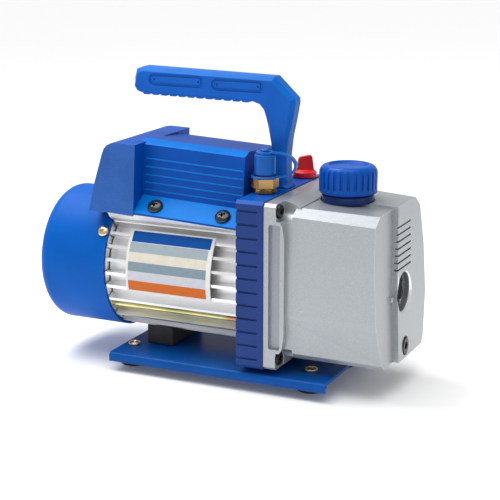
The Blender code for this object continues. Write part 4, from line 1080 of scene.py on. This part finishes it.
def make_sight_well():
    """A dark cup behind the glass and a dark sleeve over the bore wall in front of it: painted
    shade inside the sight bore.
    """
    rear, front = (corner.x for corner in box_mm("sight_glass"))
    place = (0, SIGHT.y, SIGHT.z)
    profile = [(0, rear - 3.0), (10.6, rear - 3.0), (13.4, rear - 0.15), (0, rear - 0.6)]
    cup = turned("sight_well", profile, place, "x", 64)
    dress(cup, "well_shade_paint", "black_plastic", "chassis")
    ring = [(13.9, front + 0.1), (13.9, LINER_RIM_X), (13.5, LINER_RIM_X - 0.2)]
    ring += [(13.1, front + 0.9), (12.3, front + 0.1)]
    liner = turned("sight_liner", ring, place, "x", 72, closed=True)
    dress(liner, "liner_shade_paint", "silver_paint", "chassis")


# ------------------------------------------------------------------ plug, dust cap, strap, thread

WING_HALF = 2.1
WING_TURN = 28  # degrees


def make_exhaust_plug():
    """A stepped red plug with an upright finger wing."""
    low, high = box_mm("exhaust_plug")
    x, y, z = (low.x + high.x) / 2, (low.y + high.y) / 2, DECK_Z + GAP
    profile = [(0, z - 7), (4.9, z - 7), (4.9, z), (8.5, z), (8.9, z + 0.4), (9.0, z + 3.0)]
    profile += [(8.6, z + 3.9), (7.6, z + 4.5), (6.4, z + 4.8), (5.6, z + 5.4), (0, z + 5.5)]
    plug = turned("stepped_plug", profile, (x, y, 0), "z", 64)
    outline = [(-6.0, z + 3.0), (6.9, z + 3.0), (6.6, z + 6.0), (5.4, z + 14.6), (4.6, z + 15.5)]
    outline += [(3.0, z + 15.6), (-3.4, z + 14.4), (-4.6, z + 13.2), (-5.6, z + 7.0)]
    turn = Matrix.Translation((x, y, 0)) @ Matrix.Rotation(math.radians(WING_TURN), 4, "Z")
    wing = extruded("plug_wing", outline, -WING_HALF, WING_HALF, "xz", turn)
    combine(plug, [wing], "UNION")
    soften(plug, 0.5, 3, 40)
    dress(plug, "red_plastic", "red_plastic", "exhaust_plug", "exhaust_plug")


def make_cap_button():
    """The domed button that holds the strap's upper ring."""
    z = box_mm("inlet_cap")[1].z
    profile = [(0, z - 1.0), (2.5, z - 1.0), (2.5, z + 0.1), (3.1, z + 0.5), (3.1, z + 1.0)]
    profile += [(2.5, z + 1.6), (1.2, z + 1.9), (0, z + 1.95)]
    button = turned("cap_button", profile, (INLET.x, INLET.y, 0), "z", 32)
    dress(button, "dust_cap_plastic", "blue_plastic", "inlet_cap")


RING_THICK = 1.4  # the strap's lower ring
EYE_THICK = 1.2  # the ring round the button
BAND_HALF = (0.6, 2.2)  # half of the band's thickness and of its width
LOOP_X = 9.0  # where the loop starts to bend, from the cap's axis
LOOP_REACH = 12.6
LOOP_TURN = 10  # degrees


def make_cap_strap():
    """The strap: a ring under the dust cap, a loop, and a ring round the button."""
    low, high = box_mm("cap_strap")
    bottom, top = low.z, high.z - 1.2
    thin, wide = BAND_HALF
    middle = (bottom + 0.7 + high.z) / 2 - 0.3
    rise = (top + 0.6 - bottom - 0.7) / 2
    path = [(5.4, top + EYE_THICK)] + arc(LOOP_X, middle, rise + thin, 90, -90, 16)
    path += [(8.6, bottom), (8.6, bottom + RING_THICK)]
    path += arc(LOOP_X, middle, rise - thin, -90, 90, 16) + [(5.4, top)]
    outline = []
    for u, v in path:
        outline.append((u if u <= LOOP_X else LOOP_X + (u - LOOP_X) * LOOP_REACH / rise, v))
    axis = (INLET.x, INLET.y, 0)
    turn = Matrix.Translation(axis) @ Matrix.Rotation(math.radians(LOOP_TURN), 4, "Z")
    ring = [(9.3, bottom + 1.4), (9.6, bottom + 1.1), (9.6, bottom + 0.2), (9.3, bottom)]
    ring += [(7.9, bottom), (7.9, bottom + RING_THICK)]
    strap = turned("dust_cap_strap", ring, axis, "z", 48, closed=True)
    eye = [(6.3, top + EYE_THICK), (6.3, top), (3.9, top), (3.9, top + EYE_THICK)]
    eye = turned("strap_eye", eye, axis, "z", 40, closed=True)
    combine(strap, [extruded("strap_loop", outline, -wide, wide, "xz", turn), eye], "UNION")
    soften(strap, 0.3, 2, 40)
    strap.data.materials.clear()
    strap.data.materials.append(MATERIALS["dust_cap_plastic"])
    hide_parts("cap_strap")
    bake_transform(strap)


THREAD_Z = (135.5, 139.0)
THREAD_TURNS = 3
THREAD_PITCH = 1.15
THREAD_R = (4.0, 7.5, 8.1)  # bore, root and crest


def make_thread():
    """The few turns of thread that show between the inlet's body and the dust cap."""
    z, top = THREAD_Z
    bore, root, crest = THREAD_R
    profile = [(bore, z)]
    for index in range(THREAD_TURNS):
        up = index * THREAD_PITCH
        profile += [(root, z + 0.1 + up), (crest, z + 0.45 + up)]
        profile += [(crest, z + 0.65 + up), (root, z + 1.0 + up)]
    profile.append((bore, top))
    thread = turned("inlet_thread", profile, (INLET.x, INLET.y, 0), "z", 48, closed=True)
    dress(thread, "brass", "brass", "chassis")


# ------------------------------------------------------------------ the scene

make_materials()
make_camera()
make_floor()
make_lights()
for node, material in INNER.items():
    paint_node(node, material)
for node, (width, material, slot, body) in REFINED.items():
    refined(node, width, material, slot, body)
for corner in FOOT_CORNERS:
    refined("foot_" + corner, 0.8, "rubber", "rubber")
for corner in SCREW_CORNERS:
    refined("casing_screw_" + corner, 0.2, "black_steel", "black_steel")
    refined("tie_rod_" + corner, 0.2, "rod_zinc", "zinc_steel")
make_fan_cover()
make_label()
make_screws()
make_oil_cap()
make_terminal_box()
make_handle()
make_bracket()
make_oil_casing()
make_gasket()
make_sight_well()
make_thread()
make_cap_strap()
make_cap_button()
make_exhaust_plug()
